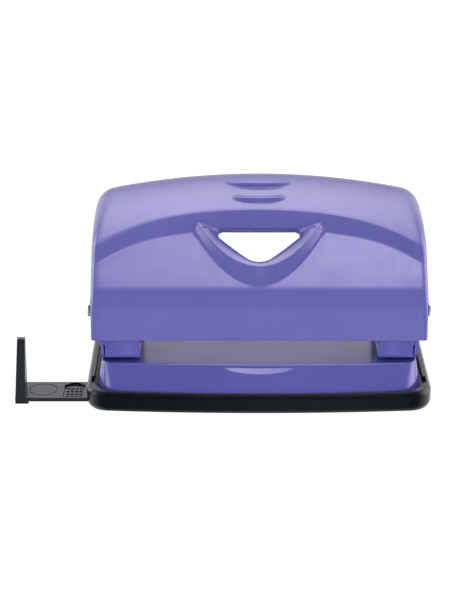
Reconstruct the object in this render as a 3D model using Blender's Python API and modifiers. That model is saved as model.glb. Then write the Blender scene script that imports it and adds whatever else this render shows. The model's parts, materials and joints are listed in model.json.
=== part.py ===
"""Two-hole desk paper punch, modelled as its separate pieces.

Frame: origin at the centre of the chip tray's underside, +Z up, the paper side
towards -Y, the paper guide sticking out towards -X. Lengths below are in
millimetres and become metres as each mesh is made.
"""
import math

import bmesh
import bpy
import numpy as np
from mathutils import Matrix, Vector

MM = 0.001
GAP = 0.3                      # clearance kept between touching pieces
OVERLAP = 1.0                  # how far a cutter passes a face
STEP = 0.05                    # keeps joined faces from lying in one plane

# ---- driving dimensions -------------------------------------------------
HOLE_SPACING = 80.0            # centre to centre of the punched holes
HOLE_MARGIN = 12.0             # paper edge to hole centre
PIN_RADIUS = 2.8
PIN_Y = -22.0
PIN_X = HOLE_SPACING / 2
STOP_Y = PIN_Y + HOLE_MARGIN   # the paper's edge rests here
PIN_TIP = 14.6
PIN_TOP = 36.2
PIN_DISH = 0.7                 # depth of the hollow in the cutting tip
PIN_BORE = PIN_RADIUS + GAP
CLIP_LOW = 26.7                # retaining clip in the pin's groove
CLIP_HIGH = 27.3
CLIP_RADIUS = 4.6
GROOVE_DEPTH = 0.6

TRAY_HALF_WIDTH = 51.0
TRAY_FRONT = -45.25
TRAY_REAR = 45.25
TRAY_RIM = 6.0
TRAY_FLOOR = 1.4

PLATE_TOP = 13.0
SHEET = 1.0                    # base and bracket sheet thickness
SLOT = 1.1                     # paper slot between the plate and the bracket

AXLE_Y = -34.0
AXLE_Z = 29.1
AXLE_RADIUS = 1.5
HEAD_RADIUS = 2.65
WASHER_RADIUS = 3.0
WASHER_SHEET = 0.6

HANDLE_HALF_WIDTH = 49.2
HANDLE_SHEET = 0.9
SKIRT_Y = -39.0
SKIRT_LOW = 20.7
SKIRT_HIGH = 28.9
SLOPE_FOOT = (-35.9, 36.9)     # (y, z) where the front slope starts
SLOPE_ANGLE = math.radians(46.0)
CROWN_Y = -5.4
CROWN_Z = 59.5
CROWN_RADIUS = 37.5
CROWN_FALL = 0.00196           # side to side fall of the crown, per mm squared
REAR_ANGLE = math.radians(-54.0)

GUIDE_FRONT = -37.8
GUIDE_REAR = -25.9
GUIDE_LOW = 0.95
GUIDE_TOP = 1.9
GUIDE_STOP = -69.15            # face that the sheet's side edge touches
GUIDE_LENGTH = 110.0

HINGE_Y = 38.0                 # chip tray pegs
HINGE_Z = 4.5
PEG_RADIUS = 1.5

BRACKET_TOP = 28.7
BRACKET_INNER = 35.0
BRACKET_OUTER = 45.6
BRACKET_FRONT = -36.4
EAR_INNER = 46.2
EAR_OUTER = 47.1
BAND_WIDTH = 9.4               # width of the bent band round the pin
FOOT_SHEET = 1.3
FOOT_TOP = PLATE_TOP + GAP + FOOT_SHEET
FOOT_REAR = STOP_Y + 13.5
RIVET_ROWS = (STOP_Y + 4.0, STOP_Y + 9.5)
RIVET_RADIUS = 1.5

BAR_LOW = 36.5                 # underside of the pressure bar
BAR_SHEET = 1.0
BAR_FRONT = PIN_Y - 4.0
BAR_REAR = PIN_Y + 3.5
BAR_FLANGE_HALF_WIDTH = 33.0
BAR_FLANGE_DEPTH = 4.5
BAR_TAB_HEIGHT = 6.0

SPRING_WIRE = 0.38             # wire radius
SPRING_RADIUS = 4.3
SPRING_TURNS = 5
SPRING_TURN_POINTS = 10

PURPLE = (0.135, 0.115, 0.46, 1.0)
BLACK = (0.012, 0.013, 0.016, 1.0)
STEEL = (0.62, 0.62, 0.64, 1.0)
CHROME = (0.80, 0.80, 0.82, 1.0)
SPRING_STEEL = (0.45, 0.45, 0.47, 1.0)


# ---- scene helpers ------------------------------------------------------
def clear_scene():
    for obj in list(bpy.data.objects):
        bpy.data.objects.remove(obj, do_unlink=True)


def new_collection(name):
    group = bpy.data.collections.new(name)
    bpy.context.scene.collection.children.link(group)
    return group


def make_material(name, colour, roughness, metallic):
    mat = bpy.data.materials.new(name)
    mat.use_nodes = True
    shader = mat.node_tree.nodes["Principled BSDF"]
    shader.inputs["Base Color"].default_value = colour
    shader.inputs["Roughness"].default_value = roughness
    shader.inputs["Metallic"].default_value = metallic
    mat.diffuse_color = colour
    return mat


clear_scene()
PUNCH = new_collection("hole_punch")
CUTTERS = new_collection("cutters")


def link(obj, group):
    group.objects.link(obj)
    return obj


def from_bmesh(name, bm, group):
    """A new object from a bmesh in millimetres."""
    bmesh.ops.scale(bm, vec=(MM, MM, MM), verts=bm.verts)
    mesh = bpy.data.meshes.new(name)
    bm.to_mesh(mesh)
    bm.free()
    return link(bpy.data.objects.new(name, mesh), group)


def box_bmesh(low, high):
    bm = bmesh.new()
    bmesh.ops.create_cube(bm, size=1.0)
    size = [b - a for a, b in zip(low, high)]
    centre = [(a + b) / 2 for a, b in zip(low, high)]
    bmesh.ops.scale(bm, vec=size, verts=bm.verts)
    bmesh.ops.translate(bm, vec=centre, verts=bm.verts)
    return bm


def cylinder_bmesh(centre, axis, radius, length, segments):
    bm = bmesh.new()
    turn = Vector((0, 0, 1)).rotation_difference(Vector(axis)).to_matrix().to_4x4()
    bmesh.ops.create_cone(bm, cap_ends=True, segments=segments, radius1=radius,
                          radius2=radius, depth=length,
                          matrix=Matrix.Translation(centre) @ turn)
    return bm


def cutter(name, bm):
    """A hidden solid that only shapes other pieces."""
    obj = from_bmesh("cut_" + name, bm, CUTTERS)
    obj.hide_render = True
    obj.display_type = "WIRE"
    return obj


def shape(obj, other, operation):
    """Cut the other solid out of obj, or join it on."""
    mod = obj.modifiers.new(operation.lower() + "_" + other.name, "BOOLEAN")
    mod.operation = operation
    mod.solver = "EXACT"
    mod.object = other


def cut_box(obj, name, low, high):
    shape(obj, cutter(name, box_bmesh(low, high)), "DIFFERENCE")


def add_box(obj, name, low, high):
    shape(obj, cutter(name, box_bmesh(low, high)), "UNION")


def cut_round(obj, name, centre, axis, radius, length, segments=32):
    shape(obj, cutter(name, cylinder_bmesh(centre, axis, radius, length, segments)),
          "DIFFERENCE")


def finish(obj, mat, origin=(0.0, 0.0, 0.0), angle=35.0):
    """Give the piece its material, its origin in millimetres and its shading."""
    offset = Vector(origin) * MM
    obj.data.transform(Matrix.Translation(-offset))
    obj.location = offset
    obj.data.materials.append(mat)
    obj.data.shade_smooth()
    obj.data.set_sharp_from_angle(angle=math.radians(angle))
    return obj


def sheet_metal(name, loops, thickness, place, group):
    """A flat 2D outline with holes, thickened and placed by a matrix in mm."""
    curve = bpy.data.curves.new(name, "CURVE")
    curve.dimensions = "2D"
    curve.fill_mode = "BOTH"
    curve.extrude = thickness / 2
    for loop in loops:
        spline = curve.splines.new("POLY")
        spline.points.add(len(loop) - 1)
        for point, (u, v) in zip(spline.points, loop):
            point.co = (u, v, 0.0, 1.0)
        spline.use_cyclic_u = True
    source = link(bpy.data.objects.new(name + "_outline", curve), CUTTERS)
    source.matrix_world = place
    bpy.context.view_layer.update()
    graph = bpy.context.evaluated_depsgraph_get()
    mesh = bpy.data.meshes.new_from_object(source.evaluated_get(graph))
    bm = bmesh.new()
    bm.from_mesh(mesh)
    bmesh.ops.transform(bm, matrix=source.matrix_world, verts=bm.verts)
    bmesh.ops.remove_doubles(bm, verts=bm.verts, dist=0.001)
    bmesh.ops.recalc_face_normals(bm, faces=bm.faces)
    bpy.data.objects.remove(source, do_unlink=True)
    bpy.data.meshes.remove(mesh)
    return from_bmesh(name, bm, group)


def turned(name, profile, segments, group):
    """A turned piece: a profile of (radius, height) from top to bottom."""
    bm = bmesh.new()
    verts = [bm.verts.new((r, 0.0, z)) for r, z in profile]
    for a, b in zip(verts, verts[1:]):
        bm.edges.new((a, b))
    obj = from_bmesh(name, bm, group)
    screw = obj.modifiers.new("screw", "SCREW")
    screw.axis = "Z"
    screw.steps = segments
    screw.render_steps = segments
    screw.use_merge_vertices = True
    screw.merge_threshold = 0.000001
    screw.use_smooth_shade = True
    return obj


# ---- outlines -----------------------------------------------------------
def arc(cx, cy, radius, start, end, steps):
    """Points on a circle, angles in degrees, both ends included."""
    angles = [math.radians(start + (end - start) * i / steps) for i in range(steps + 1)]
    return [(cx + radius * math.cos(a), cy + radius * math.sin(a)) for a in angles]


def rounded_rectangle(u0, u1, v0, v1, radius, steps=3):
    points = []
    for cu, cv, start in ((u1 - radius, v0 + radius, -90), (u1 - radius, v1 - radius, 0),
                          (u0 + radius, v1 - radius, 90), (u0 + radius, v0 + radius, 180)):
        points += arc(cu, cv, radius, start, start + 90, steps)
    return points


def plan_outline(half_width, front, rear, front_radius, rear_radius, bow):
    """Plan of a base layer: straight sides, round corners, front bowed out by bow."""
    edge = half_width - front_radius

    def bowed(x):
        return bow * min(1.0, abs(x) / edge) ** 2

    right = arc(edge, front + front_radius + bow, front_radius, -90, 0, 6)
    right += arc(half_width - rear_radius, rear - rear_radius, rear_radius, 0, 90, 4)
    left = [(-x, y) for x, y in reversed(right)]
    spread = [edge * (i / 4 - 1) for i in range(1, 8)]
    return right + left + [(x, front + bowed(x)) for x in spread]


def skin_rings(bm, layers):
    """Quads between plan outlines at their heights, in order."""
    rings = [[bm.verts.new((x, y, z)) for x, y in outline] for z, outline in layers]
    count = len(rings[0])
    for low, high in zip(rings, rings[1:]):
        for i in range(count):
            j = (i + 1) % count
            bm.faces.new((low[i], low[j], high[j], high[i]))
    return rings


# ---- handle -------------------------------------------------------------
FILLET = 1.1                   # rounding of the arched step's two edges
SLOPE_OUT = np.array([-math.sin(SLOPE_ANGLE), math.cos(SLOPE_ANGLE)])
LIP_LOW = 4.45                 # V-shaped lip: ridge at the middle, spread, height, inner width
LIP_SPREAD = 0.0442
LIP_HEIGHT = 3.3
LIP_WIDTH = 7.0
# Raised thumb bars on the crown: ridge y, half width, height, depth of the rear fall.
THUMB_BARS = ((-11.4, 9.6, 1.2, 2.6), (-19.1, 7.6, 1.2, 2.4))
THUMB_FRONT = 0.85             # depth of a bar's steep front
HOLE_FRONT = 6.5               # finger hole: front arc's lowest point, up the slope
HOLE_ARC = 5.3
HOLE_HALF_WIDTH = 11.9
HOLE_REAR = 17.2
HOLE_CORNER = 1.5


def smooth(t):
    t = min(max(t, 0.0), 1.0)
    return t * t * (3 - 2 * t)


def slope_point(q):
    """(y, z) at a distance q up the front slope."""
    return np.array([SLOPE_FOOT[0] + q * math.cos(SLOPE_ANGLE),
                     SLOPE_FOOT[1] + q * math.sin(SLOPE_ANGLE)])


def crown_point(x, angle):
    """(y, z) on the rounded top where its tangent makes this angle."""
    top = CROWN_Z - CROWN_FALL * x * x
    return np.array([CROWN_Y - CROWN_RADIUS * math.sin(angle),
                     top - CROWN_RADIUS * (1 - math.cos(angle))])


def step_foot(x):
    """How far up the slope the arched step starts."""
    return 18.0 - 0.0012 * x * x - 1.65e-6 * x ** 4


def step_edge(x):
    """The crown's tangent angle where the arched step ends."""
    y = -22.4 - 0.00099 * x * x - 0.71e-6 * x ** 4
    return math.asin((CROWN_Y - y) / CROWN_RADIUS)


def bezier(a, b, c, t):
    return (1 - t) ** 2 * a + 2 * t * (1 - t) * b + t * t * c


def lip_foot(x):
    """How far up the slope the V-shaped lip starts to rise."""
    return -0.6 + 0.0465 * x * x


def lip_ridge(x):
    """How far up the slope the V-shaped lip is highest."""
    return LIP_LOW + LIP_SPREAD * x * x


def lip_height(x, q):
    """Height of the V-shaped lip around the finger hole above the slope."""
    foot = lip_foot(x)
    ridge = lip_ridge(x)
    height = LIP_HEIGHT - smooth(abs(x) / 18.0)
    if q <= ridge:
        return height * smooth((q - foot) / (ridge - foot))
    inside = (q - ridge) / math.hypot(1.0, 2 * LIP_SPREAD * x)
    return height * max(0.0, 1.0 - (inside / LIP_WIDTH) ** 1.5)


def thumb_bar(x, y):
    """Height of the two raised thumb bars on the crown."""
    total = 0.0
    for ridge, half_width, height, rear in THUMB_BARS:
        across = abs(x) / half_width
        if across >= 1.0:
            continue
        reach = THUMB_FRONT if y < ridge else rear
        total += height * math.sqrt(1 - across ** 2) * (1 - smooth(abs(y - ridge) / reach))
    return total


# Rows of the skin along its profile: section name and number of steps.
SECTIONS = (("skirt", 1), ("roll", 3), ("below_lip", 3), ("lip_wall", 3), ("above_lip", 4),
            ("foot", 2), ("step", 1), ("edge", 1))
CROWN_REAR_ROWS = 6            # rows of the crown behind the thumb bars


def slope_part(x, name, t):
    """Distance up the slope, with rows that follow the lip's foot and ridge."""
    end = step_foot(x) - FILLET
    foot = min(max(lip_foot(x), 0.02 * end), 0.88 * end)
    ridge = min(max(lip_ridge(x), foot + 0.05 * end), 0.95 * end)
    starts = {"below_lip": (0.0, foot), "lip_wall": (foot, ridge), "above_lip": (ridge, end)}
    low, high = starts[name]
    return low + t * (high - low)


def skin_point(x, name, t):
    """(y, z) of the outer skin at x, a share t along the named section."""
    foot = step_foot(x)
    edge = step_edge(x)
    corner = slope_point(foot)
    brow = crown_point(x, edge)
    rise = (brow - corner) / np.linalg.norm(brow - corner)
    after = edge - FILLET / CROWN_RADIUS
    start = slope_point(0.0)
    lift = 0.0
    if name == "skirt":
        return np.array([SKIRT_Y, SKIRT_LOW + t * (SKIRT_HIGH - SKIRT_LOW)])
    if name == "roll":
        bend = np.array([SKIRT_Y, start[1] - (start[0] - SKIRT_Y) * math.tan(SLOPE_ANGLE)])
        point = bezier(np.array([SKIRT_Y, SKIRT_HIGH]), bend, start, t)
    elif name in ("below_lip", "lip_wall", "above_lip"):
        q = slope_part(x, name, t)
        point = slope_point(q)
        lift = lip_height(x, q)
    elif name == "foot":
        point = bezier(slope_point(foot - FILLET), corner, corner + FILLET * rise, t)
        lift = lip_height(x, foot - FILLET * (1 - t)) * (1 - t * 0.3)
    elif name == "step":
        point = corner + FILLET * rise + t * (brow - corner - 2 * FILLET * rise)
        lift = lip_height(x, foot) * 0.7 * (1 - t * 0.6)
    elif name == "edge":
        point = bezier(brow - FILLET * rise, brow, crown_point(x, after), t)
        lift = lip_height(x, foot) * 0.28 * (1 - t)
    else:
        angle = after + t * (REAR_ANGLE - after)
        point = crown_point(x, angle)
        out = np.array([-math.sin(angle), math.cos(angle)])
        point = point + thumb_bar(x, point[0]) * out
    return point + lift * SLOPE_OUT


def crown_shares():
    """Shares of the crown's arc for its rows, with rows at the thumb bars' edges and ridges."""
    start = step_edge(0.0) - FILLET / CROWN_RADIUS
    ys = []
    for ridge, _, _, rear in reversed(THUMB_BARS):
        ys += [ridge - THUMB_FRONT, ridge, ridge + rear]
    angles = [math.asin((CROWN_Y - y) / CROWN_RADIUS) for y in ys]
    last = angles[-1]
    angles += [last + (REAR_ANGLE - last) * i / CROWN_REAR_ROWS
               for i in range(1, CROWN_REAR_ROWS + 1)]
    return [0.0] + [(angle - start) / (REAR_ANGLE - start) for angle in angles]


def skin_rows():
    """Every profile row as (section, share of the section)."""
    rows = [(name, i / count) for name, count in SECTIONS for i in range(count)]
    return rows + [("crown", share) for share in crown_shares()]


def low_edge(share):
    """(y, z) on the side wall's low edge, share 0 at the front and 1 at the rear."""
    y = -33.0 + 56.0 * share
    z = SKIRT_LOW + 14.5 * smooth((y + 29.0) / 58.0)
    return np.array([y, z])


def corner_radius(share):
    return 2.6 + 4.0 * smooth((share - 0.25) / 0.3)


def skin_lean(x, name):
    """Sideways slope of the crown at x, as an angle."""
    return math.atan(2 * CROWN_FALL * x) if name == "crown" else 0.0


def handle_skin():
    """The handle's outer skin: rows of (x, y, z) points from one low edge to the other."""
    inner = [i * 2.5 for i in range(9)]
    shares = (0.25, 0.5, 0.75, 1.0)
    reference = np.array([skin_point(40.0, name, t) for name, t in skin_rows()])
    steps = np.linalg.norm(np.diff(reference, axis=0), axis=1)
    along = np.concatenate(([0.0], np.cumsum(steps))) / steps.sum()
    skin = []
    for (name, t), share in zip(skin_rows(), along):
        radius = corner_radius(share)
        lean = skin_lean(HANDLE_HALF_WIDTH - radius, name)
        shoulder = HANDLE_HALF_WIDTH - radius * (1 - math.sin(lean))
        half = [(x, *skin_point(x, name, t)) for x in inner]
        for part in shares:
            x = inner[-1] + part * (shoulder - inner[-1])
            half.append((x, *skin_point(x, name, t)))
        top = skin_point(shoulder, name, t)
        target = low_edge(share)
        down = (target - top) / np.linalg.norm(target - top)
        for i in range(1, 5):
            turn = lean + i / 4 * (math.pi / 2 - lean)
            x = shoulder + radius * (math.sin(turn) - math.sin(lean))
            half.append((x, *(top + radius * (math.cos(lean) - math.cos(turn)) * down)))
        begin = top + radius * math.cos(lean) * down
        for depth in (0.5, 1.0):
            half.append((HANDLE_HALF_WIDTH, *(begin + depth * (target - begin))))
        skin.append([(-x, y, z) for x, y, z in reversed(half[1:])] + half)
    return skin


def make_handle(mat):
    """The pressed steel handle, with its finger hole and axle holes."""
    bm = bmesh.new()
    grid = [[bm.verts.new(point) for point in row] for row in handle_skin()]
    for low, high in zip(grid, grid[1:]):
        for i in range(len(low) - 1):
            bm.faces.new((low[i], low[i + 1], high[i + 1], high[i]))
    handle = from_bmesh("handle", bm, PUNCH)
    solid = handle.modifiers.new("sheet", "SOLIDIFY")
    solid.thickness = HANDLE_SHEET * MM
    solid.offset = -1.0
    solid.use_even_offset = False
    shape(handle, finger_hole_cutter(), "DIFFERENCE")
    for side in (-1, 1):
        cut_round(handle, f"handle_axle_{side}", (side * HANDLE_HALF_WIDTH, AXLE_Y, AXLE_Z),
                  (1, 0, 0), AXLE_RADIUS + GAP, 4.0, 24)
    axle = (0.0, AXLE_Y, AXLE_Z)
    finish(handle, mat, axle)
    return handle


def finger_hole_outline():
    """The finger hole in (x, q), q being the distance up the slope."""
    right = arc(0.0, HOLE_FRONT + HOLE_ARC, HOLE_ARC, -90, -42, 4)
    right += arc(HOLE_HALF_WIDTH - HOLE_CORNER, HOLE_REAR - HOLE_CORNER, HOLE_CORNER, -42, 90, 5)
    left = [(-x, q) for x, q in reversed(right)]
    return right + left[:-1]


def finger_hole_cutter():
    y, z = slope_point(0.0)
    place = Matrix.Translation((0.0, y, z)) @ Matrix.Rotation(SLOPE_ANGLE, 4, "X")
    obj = sheet_metal("cut_finger_hole", [finger_hole_outline()], 24.0, place, CUTTERS)
    obj.hide_render = True
    obj.display_type = "WIRE"
    return obj


def make_pressure_bar(mat):
    """The steel bar inside the handle that pushes both pins down."""
    wall = HANDLE_HALF_WIDTH - HANDLE_SHEET - GAP
    bar = from_bmesh("pressure_bar", box_bmesh((-wall, BAR_FRONT, BAR_LOW),
                                               (wall, BAR_REAR, BAR_LOW + BAR_SHEET)), PUNCH)
    for side in (-1, 1):
        tab = sorted((side * wall, side * (wall - BAR_SHEET)))
        add_box(bar, f"bar_tab_{side}", (tab[0], BAR_FRONT, BAR_LOW),
                (tab[1], BAR_REAR, BAR_LOW + BAR_TAB_HEIGHT))
    for y in (BAR_FRONT, BAR_REAR - BAR_SHEET):
        add_box(bar, f"bar_flange_{y:.0f}",
                (-BAR_FLANGE_HALF_WIDTH, y, BAR_LOW - BAR_FLANGE_DEPTH),
                (BAR_FLANGE_HALF_WIDTH, y + BAR_SHEET, BAR_LOW + BAR_SHEET / 2))
    return finish(bar, mat, (0.0, AXLE_Y, AXLE_Z))


# ---- base ---------------------------------------------------------------
def make_base_plate(mat):
    """The pressed plate that the paper lies on, with its skirt and die holes."""
    bm = bmesh.new()
    layers = [(3.7, plan_outline(47.5, -43.85, 41.4, 6.5, 3.0, 1.7)),
              (6.0, plan_outline(47.4, -43.6, 41.1, 6.5, 3.0, 1.7)),
              (12.1, plan_outline(46.8, -39.15, 38.2, 6.2, 3.0, 1.0)),
              (12.75, plan_outline(46.4, -38.6, 37.8, 5.9, 2.7, 0.9)),
              (PLATE_TOP, plan_outline(45.7, -37.9, 37.1, 5.3, 2.2, 0.9))]
    rings = skin_rings(bm, layers)
    bm.faces.new(rings[-1])
    plate = from_bmesh("base_plate", bm, PUNCH)
    solid = plate.modifiers.new("sheet", "SOLIDIFY")
    solid.thickness = SHEET * MM
    solid.offset = -1.0
    solid.use_even_offset = True
    for side in (-1, 1):
        ear = cylinder_bmesh((side * 46.9, HINGE_Y, HINGE_Z), (1, 0, 0), 2.6, 1.0, 24)
        shape(plate, cutter(f"plate_hinge_{side}", ear), "UNION")
        cut_round(plate, f"plate_peg_{side}", (side * 46.9, HINGE_Y, HINGE_Z), (1, 0, 0),
                  PEG_RADIUS + GAP, 4.0, 24)
        cut_round(plate, f"die_{side}", (side * PIN_X, PIN_Y, PLATE_TOP), (0, 0, 1),
                  PIN_RADIUS + 0.25, 4.0)
        for y in RIVET_ROWS:
            cut_round(plate, f"rivet_hole_{side}_{y:.0f}", (side * PIN_X, y, PLATE_TOP), (0, 0, 1),
                      RIVET_RADIUS + GAP, 4.0, 20)
    return finish(plate, mat)


def upright_place(x):
    """Turns an outline in (y, z) into the YZ plane at x."""
    return (Matrix.Translation((x, 0, 0))
            @ Matrix(((0, 0, 1, 0), (1, 0, 0, 0), (0, 1, 0, 0), (0, 0, 0, 1))))


def make_bracket(name, side, mat):
    """One punch head frame: a bent band round the pin, an ear for the axle and a riveted foot."""
    low = PLATE_TOP + SLOT
    outer = rounded_rectangle(BRACKET_FRONT, STOP_Y, low, BRACKET_TOP, 1.6)
    inner = rounded_rectangle(BRACKET_FRONT + SHEET, STOP_Y - SHEET, low + SHEET,
                              BRACKET_TOP - SHEET, 0.6)
    place = upright_place(side * (BRACKET_INNER + BAND_WIDTH / 2))
    bracket = sheet_metal(name, [outer, inner], BAND_WIDTH, place, PUNCH)
    ear = [(BRACKET_FRONT, PLATE_TOP + GAP), (STOP_Y, PLATE_TOP + GAP), (STOP_Y, 22.0)]
    ear += [(AXLE_Y + 7.0, 27.0)]
    ear += arc(AXLE_Y, AXLE_Z, 3.3, 20, 200, 8)
    ear += [(BRACKET_FRONT - 0.7, 24.0), (BRACKET_FRONT, 18.0)]
    place = upright_place(side * (EAR_INNER + EAR_OUTER) / 2)
    wall = sheet_metal("cut_ear_" + name, [ear], EAR_OUTER - EAR_INNER, place, CUTTERS)
    wall.hide_render = True
    wall.display_type = "WIRE"
    shape(bracket, wall, "UNION")

    def span(a, b):
        return sorted((side * a, side * b))

    web = span(BRACKET_INNER + BAND_WIDTH - 0.5, EAR_INNER + 0.5)
    add_box(bracket, name + "_web", (web[0], BRACKET_FRONT + 4.0, low + STEP),
            (web[1], STOP_Y - 0.5, low + SHEET - STEP))
    lip = span(BRACKET_INNER + BAND_WIDTH - 0.5, BRACKET_OUTER)
    add_box(bracket, name + "_lip", (lip[0], BRACKET_FRONT + STEP, low + STEP),
            (lip[1], BRACKET_FRONT + SHEET - STEP, 21.5))
    foot = span(BRACKET_INNER + STEP, EAR_OUTER - STEP)
    add_box(bracket, name + "_foot", (foot[0], STOP_Y - 0.6, PLATE_TOP + GAP - STEP),
            (foot[1], FOOT_REAR, FOOT_TOP))
    for z in (low + SHEET / 2, BRACKET_TOP - SHEET / 2):
        cut_round(bracket, f"{name}_guide_{z:.0f}", (side * PIN_X, PIN_Y, z), (0, 0, 1),
                  PIN_BORE, 2.5 * SHEET)
    for y in RIVET_ROWS:
        cut_round(bracket, f"{name}_rivet_{y:.0f}", (side * PIN_X, y, FOOT_TOP), (0, 0, 1),
                  RIVET_RADIUS + GAP, 4.0, 20)
    cut_round(bracket, name + "_axle", (side * EAR_INNER, AXLE_Y, AXLE_Z), (1, 0, 0),
              AXLE_RADIUS + GAP, 3.0, 24)
    return finish(bracket, mat)


def make_rivet(name, x, y, mat):
    """A foot rivet: round head on the foot, spread tail under the plate."""
    top = FOOT_TOP
    dome = [(2.6 * math.cos(a), top + GAP + 0.9 * math.sin(a))
            for a in (math.radians(90 - 22.5 * i) for i in range(5))]
    tail = PLATE_TOP - SHEET - GAP
    body = dome + [(RIVET_RADIUS, top + GAP), (RIVET_RADIUS, tail), (2.2, tail), (2.2, tail - 0.4),
                   (1.6, tail - 0.8), (0.0, tail - 0.8)]
    body[0] = (0.0, body[0][1])
    rivet = turned(name, body, 16, PUNCH)
    finish(rivet, mat)
    rivet.location = (x * MM, y * MM, 0.0)
    return rivet


# ---- axle and pins ------------------------------------------------------
def make_axle_rivet(name, side, mat):
    """The domed pivot rivet through the handle's wall and the bracket's ear."""
    face = HANDLE_HALF_WIDTH + GAP
    dome = [(HEAD_RADIUS * math.cos(a), face + 0.3 + 1.0 * math.sin(a))
            for a in (math.radians(90 - 18 * i) for i in range(6))]
    dome[0] = (0.0, dome[0][1])
    inner = EAR_INNER - GAP
    body = dome + [(HEAD_RADIUS, face), (AXLE_RADIUS, face), (AXLE_RADIUS, inner), (2.0, inner),
                   (2.0, inner - 0.7), (1.5, inner - 1.0), (0.0, inner - 1.0)]
    rivet = turned(name, body, 20, PUNCH)
    finish(rivet, mat)
    rivet.location = (0.0, AXLE_Y * MM, AXLE_Z * MM)
    rivet.rotation_euler = (0.0, side * math.pi / 2, 0.0)
    return rivet


def make_ring(name, inner, outer, low, high, segments, mat, opening=0.0):
    """A flat washer, or an open retaining clip when opening is not zero."""
    if opening > 0.0:
        start, end = opening / 2, 360.0 - opening / 2
        loops = [arc(0, 0, outer, start, end, segments) + arc(0, 0, inner, end, start, segments)]
    else:
        loops = [arc(0, 0, outer, 0, 360, segments)[:-1], arc(0, 0, inner, 0, 360, segments)[:-1]]
    ring = sheet_metal(name, loops, high - low, Matrix.Translation((0, 0, (high + low) / 2)), PUNCH)
    return finish(ring, mat)


def make_pin(name, x, mat):
    """A punch pin: dished cutting tip, clip groove and domed top."""
    dome = [(PIN_RADIUS * math.sin(a), PIN_TOP - 0.9 * (1 - math.cos(a)))
            for a in (math.radians(22.5 * i) for i in range(5))]
    groove = PIN_RADIUS - GROOVE_DEPTH
    body = dome + [(PIN_RADIUS, CLIP_HIGH + GAP), (groove, CLIP_HIGH + GAP), (groove, CLIP_LOW - GAP),
                   (PIN_RADIUS, CLIP_LOW - GAP), (PIN_RADIUS, PIN_TIP), (1.2, PIN_TIP + PIN_DISH),
                   (0.0, PIN_TIP + PIN_DISH)]
    pin = turned(name, body, 24, PUNCH)
    finish(pin, mat)
    pin.location = (x * MM, PIN_Y * MM, 0.0)
    return pin


def make_spring(name, x, mat):
    """The return spring between the bracket's lower plate and the pin's clip."""
    low = PLATE_TOP + SLOT + SHEET + GAP + SPRING_WIRE
    high = CLIP_LOW - GAP - SPRING_WIRE
    closed = 0.75              # turns wound flat at each end
    rise = 2 * SPRING_WIRE + 0.04
    count = SPRING_TURNS * SPRING_TURN_POINTS
    curve = bpy.data.curves.new(name, "CURVE")
    curve.dimensions = "3D"
    curve.bevel_depth = SPRING_WIRE * MM
    curve.bevel_resolution = 2
    curve.use_fill_caps = True
    spline = curve.splines.new("POLY")
    spline.points.add(count)
    for i, point in enumerate(spline.points):
        turn = i / SPRING_TURN_POINTS
        climb = min(max((turn - closed) / (SPRING_TURNS - 2 * closed), 0.0), 1.0)
        wound = min(turn, closed) + max(0.0, turn - SPRING_TURNS + closed)
        z = low + rise * wound + climb * (high - low - 2 * closed * rise)
        angle = 2 * math.pi * turn
        point.co = (SPRING_RADIUS * math.cos(angle) * MM, SPRING_RADIUS * math.sin(angle) * MM,
                    z * MM, 1.0)
    source = link(bpy.data.objects.new(name + "_path", curve), PUNCH)
    source.location = (x * MM, PIN_Y * MM, 0.0)
    bpy.context.view_layer.update()
    graph = bpy.context.evaluated_depsgraph_get()
    mesh = bpy.data.meshes.new_from_object(source.evaluated_get(graph))
    bm = bmesh.new()
    bm.from_mesh(mesh)
    bmesh.ops.remove_doubles(bm, verts=bm.verts, dist=0.000005)
    bm.to_mesh(mesh)
    bm.free()
    spring = link(bpy.data.objects.new(name, mesh), PUNCH)
    spring.matrix_world = source.matrix_world
    bpy.data.objects.remove(source, do_unlink=True)
    mesh.name = name
    mesh.materials.clear()
    mesh.materials.append(mat)
    mesh.shade_smooth()
    return spring


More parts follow.
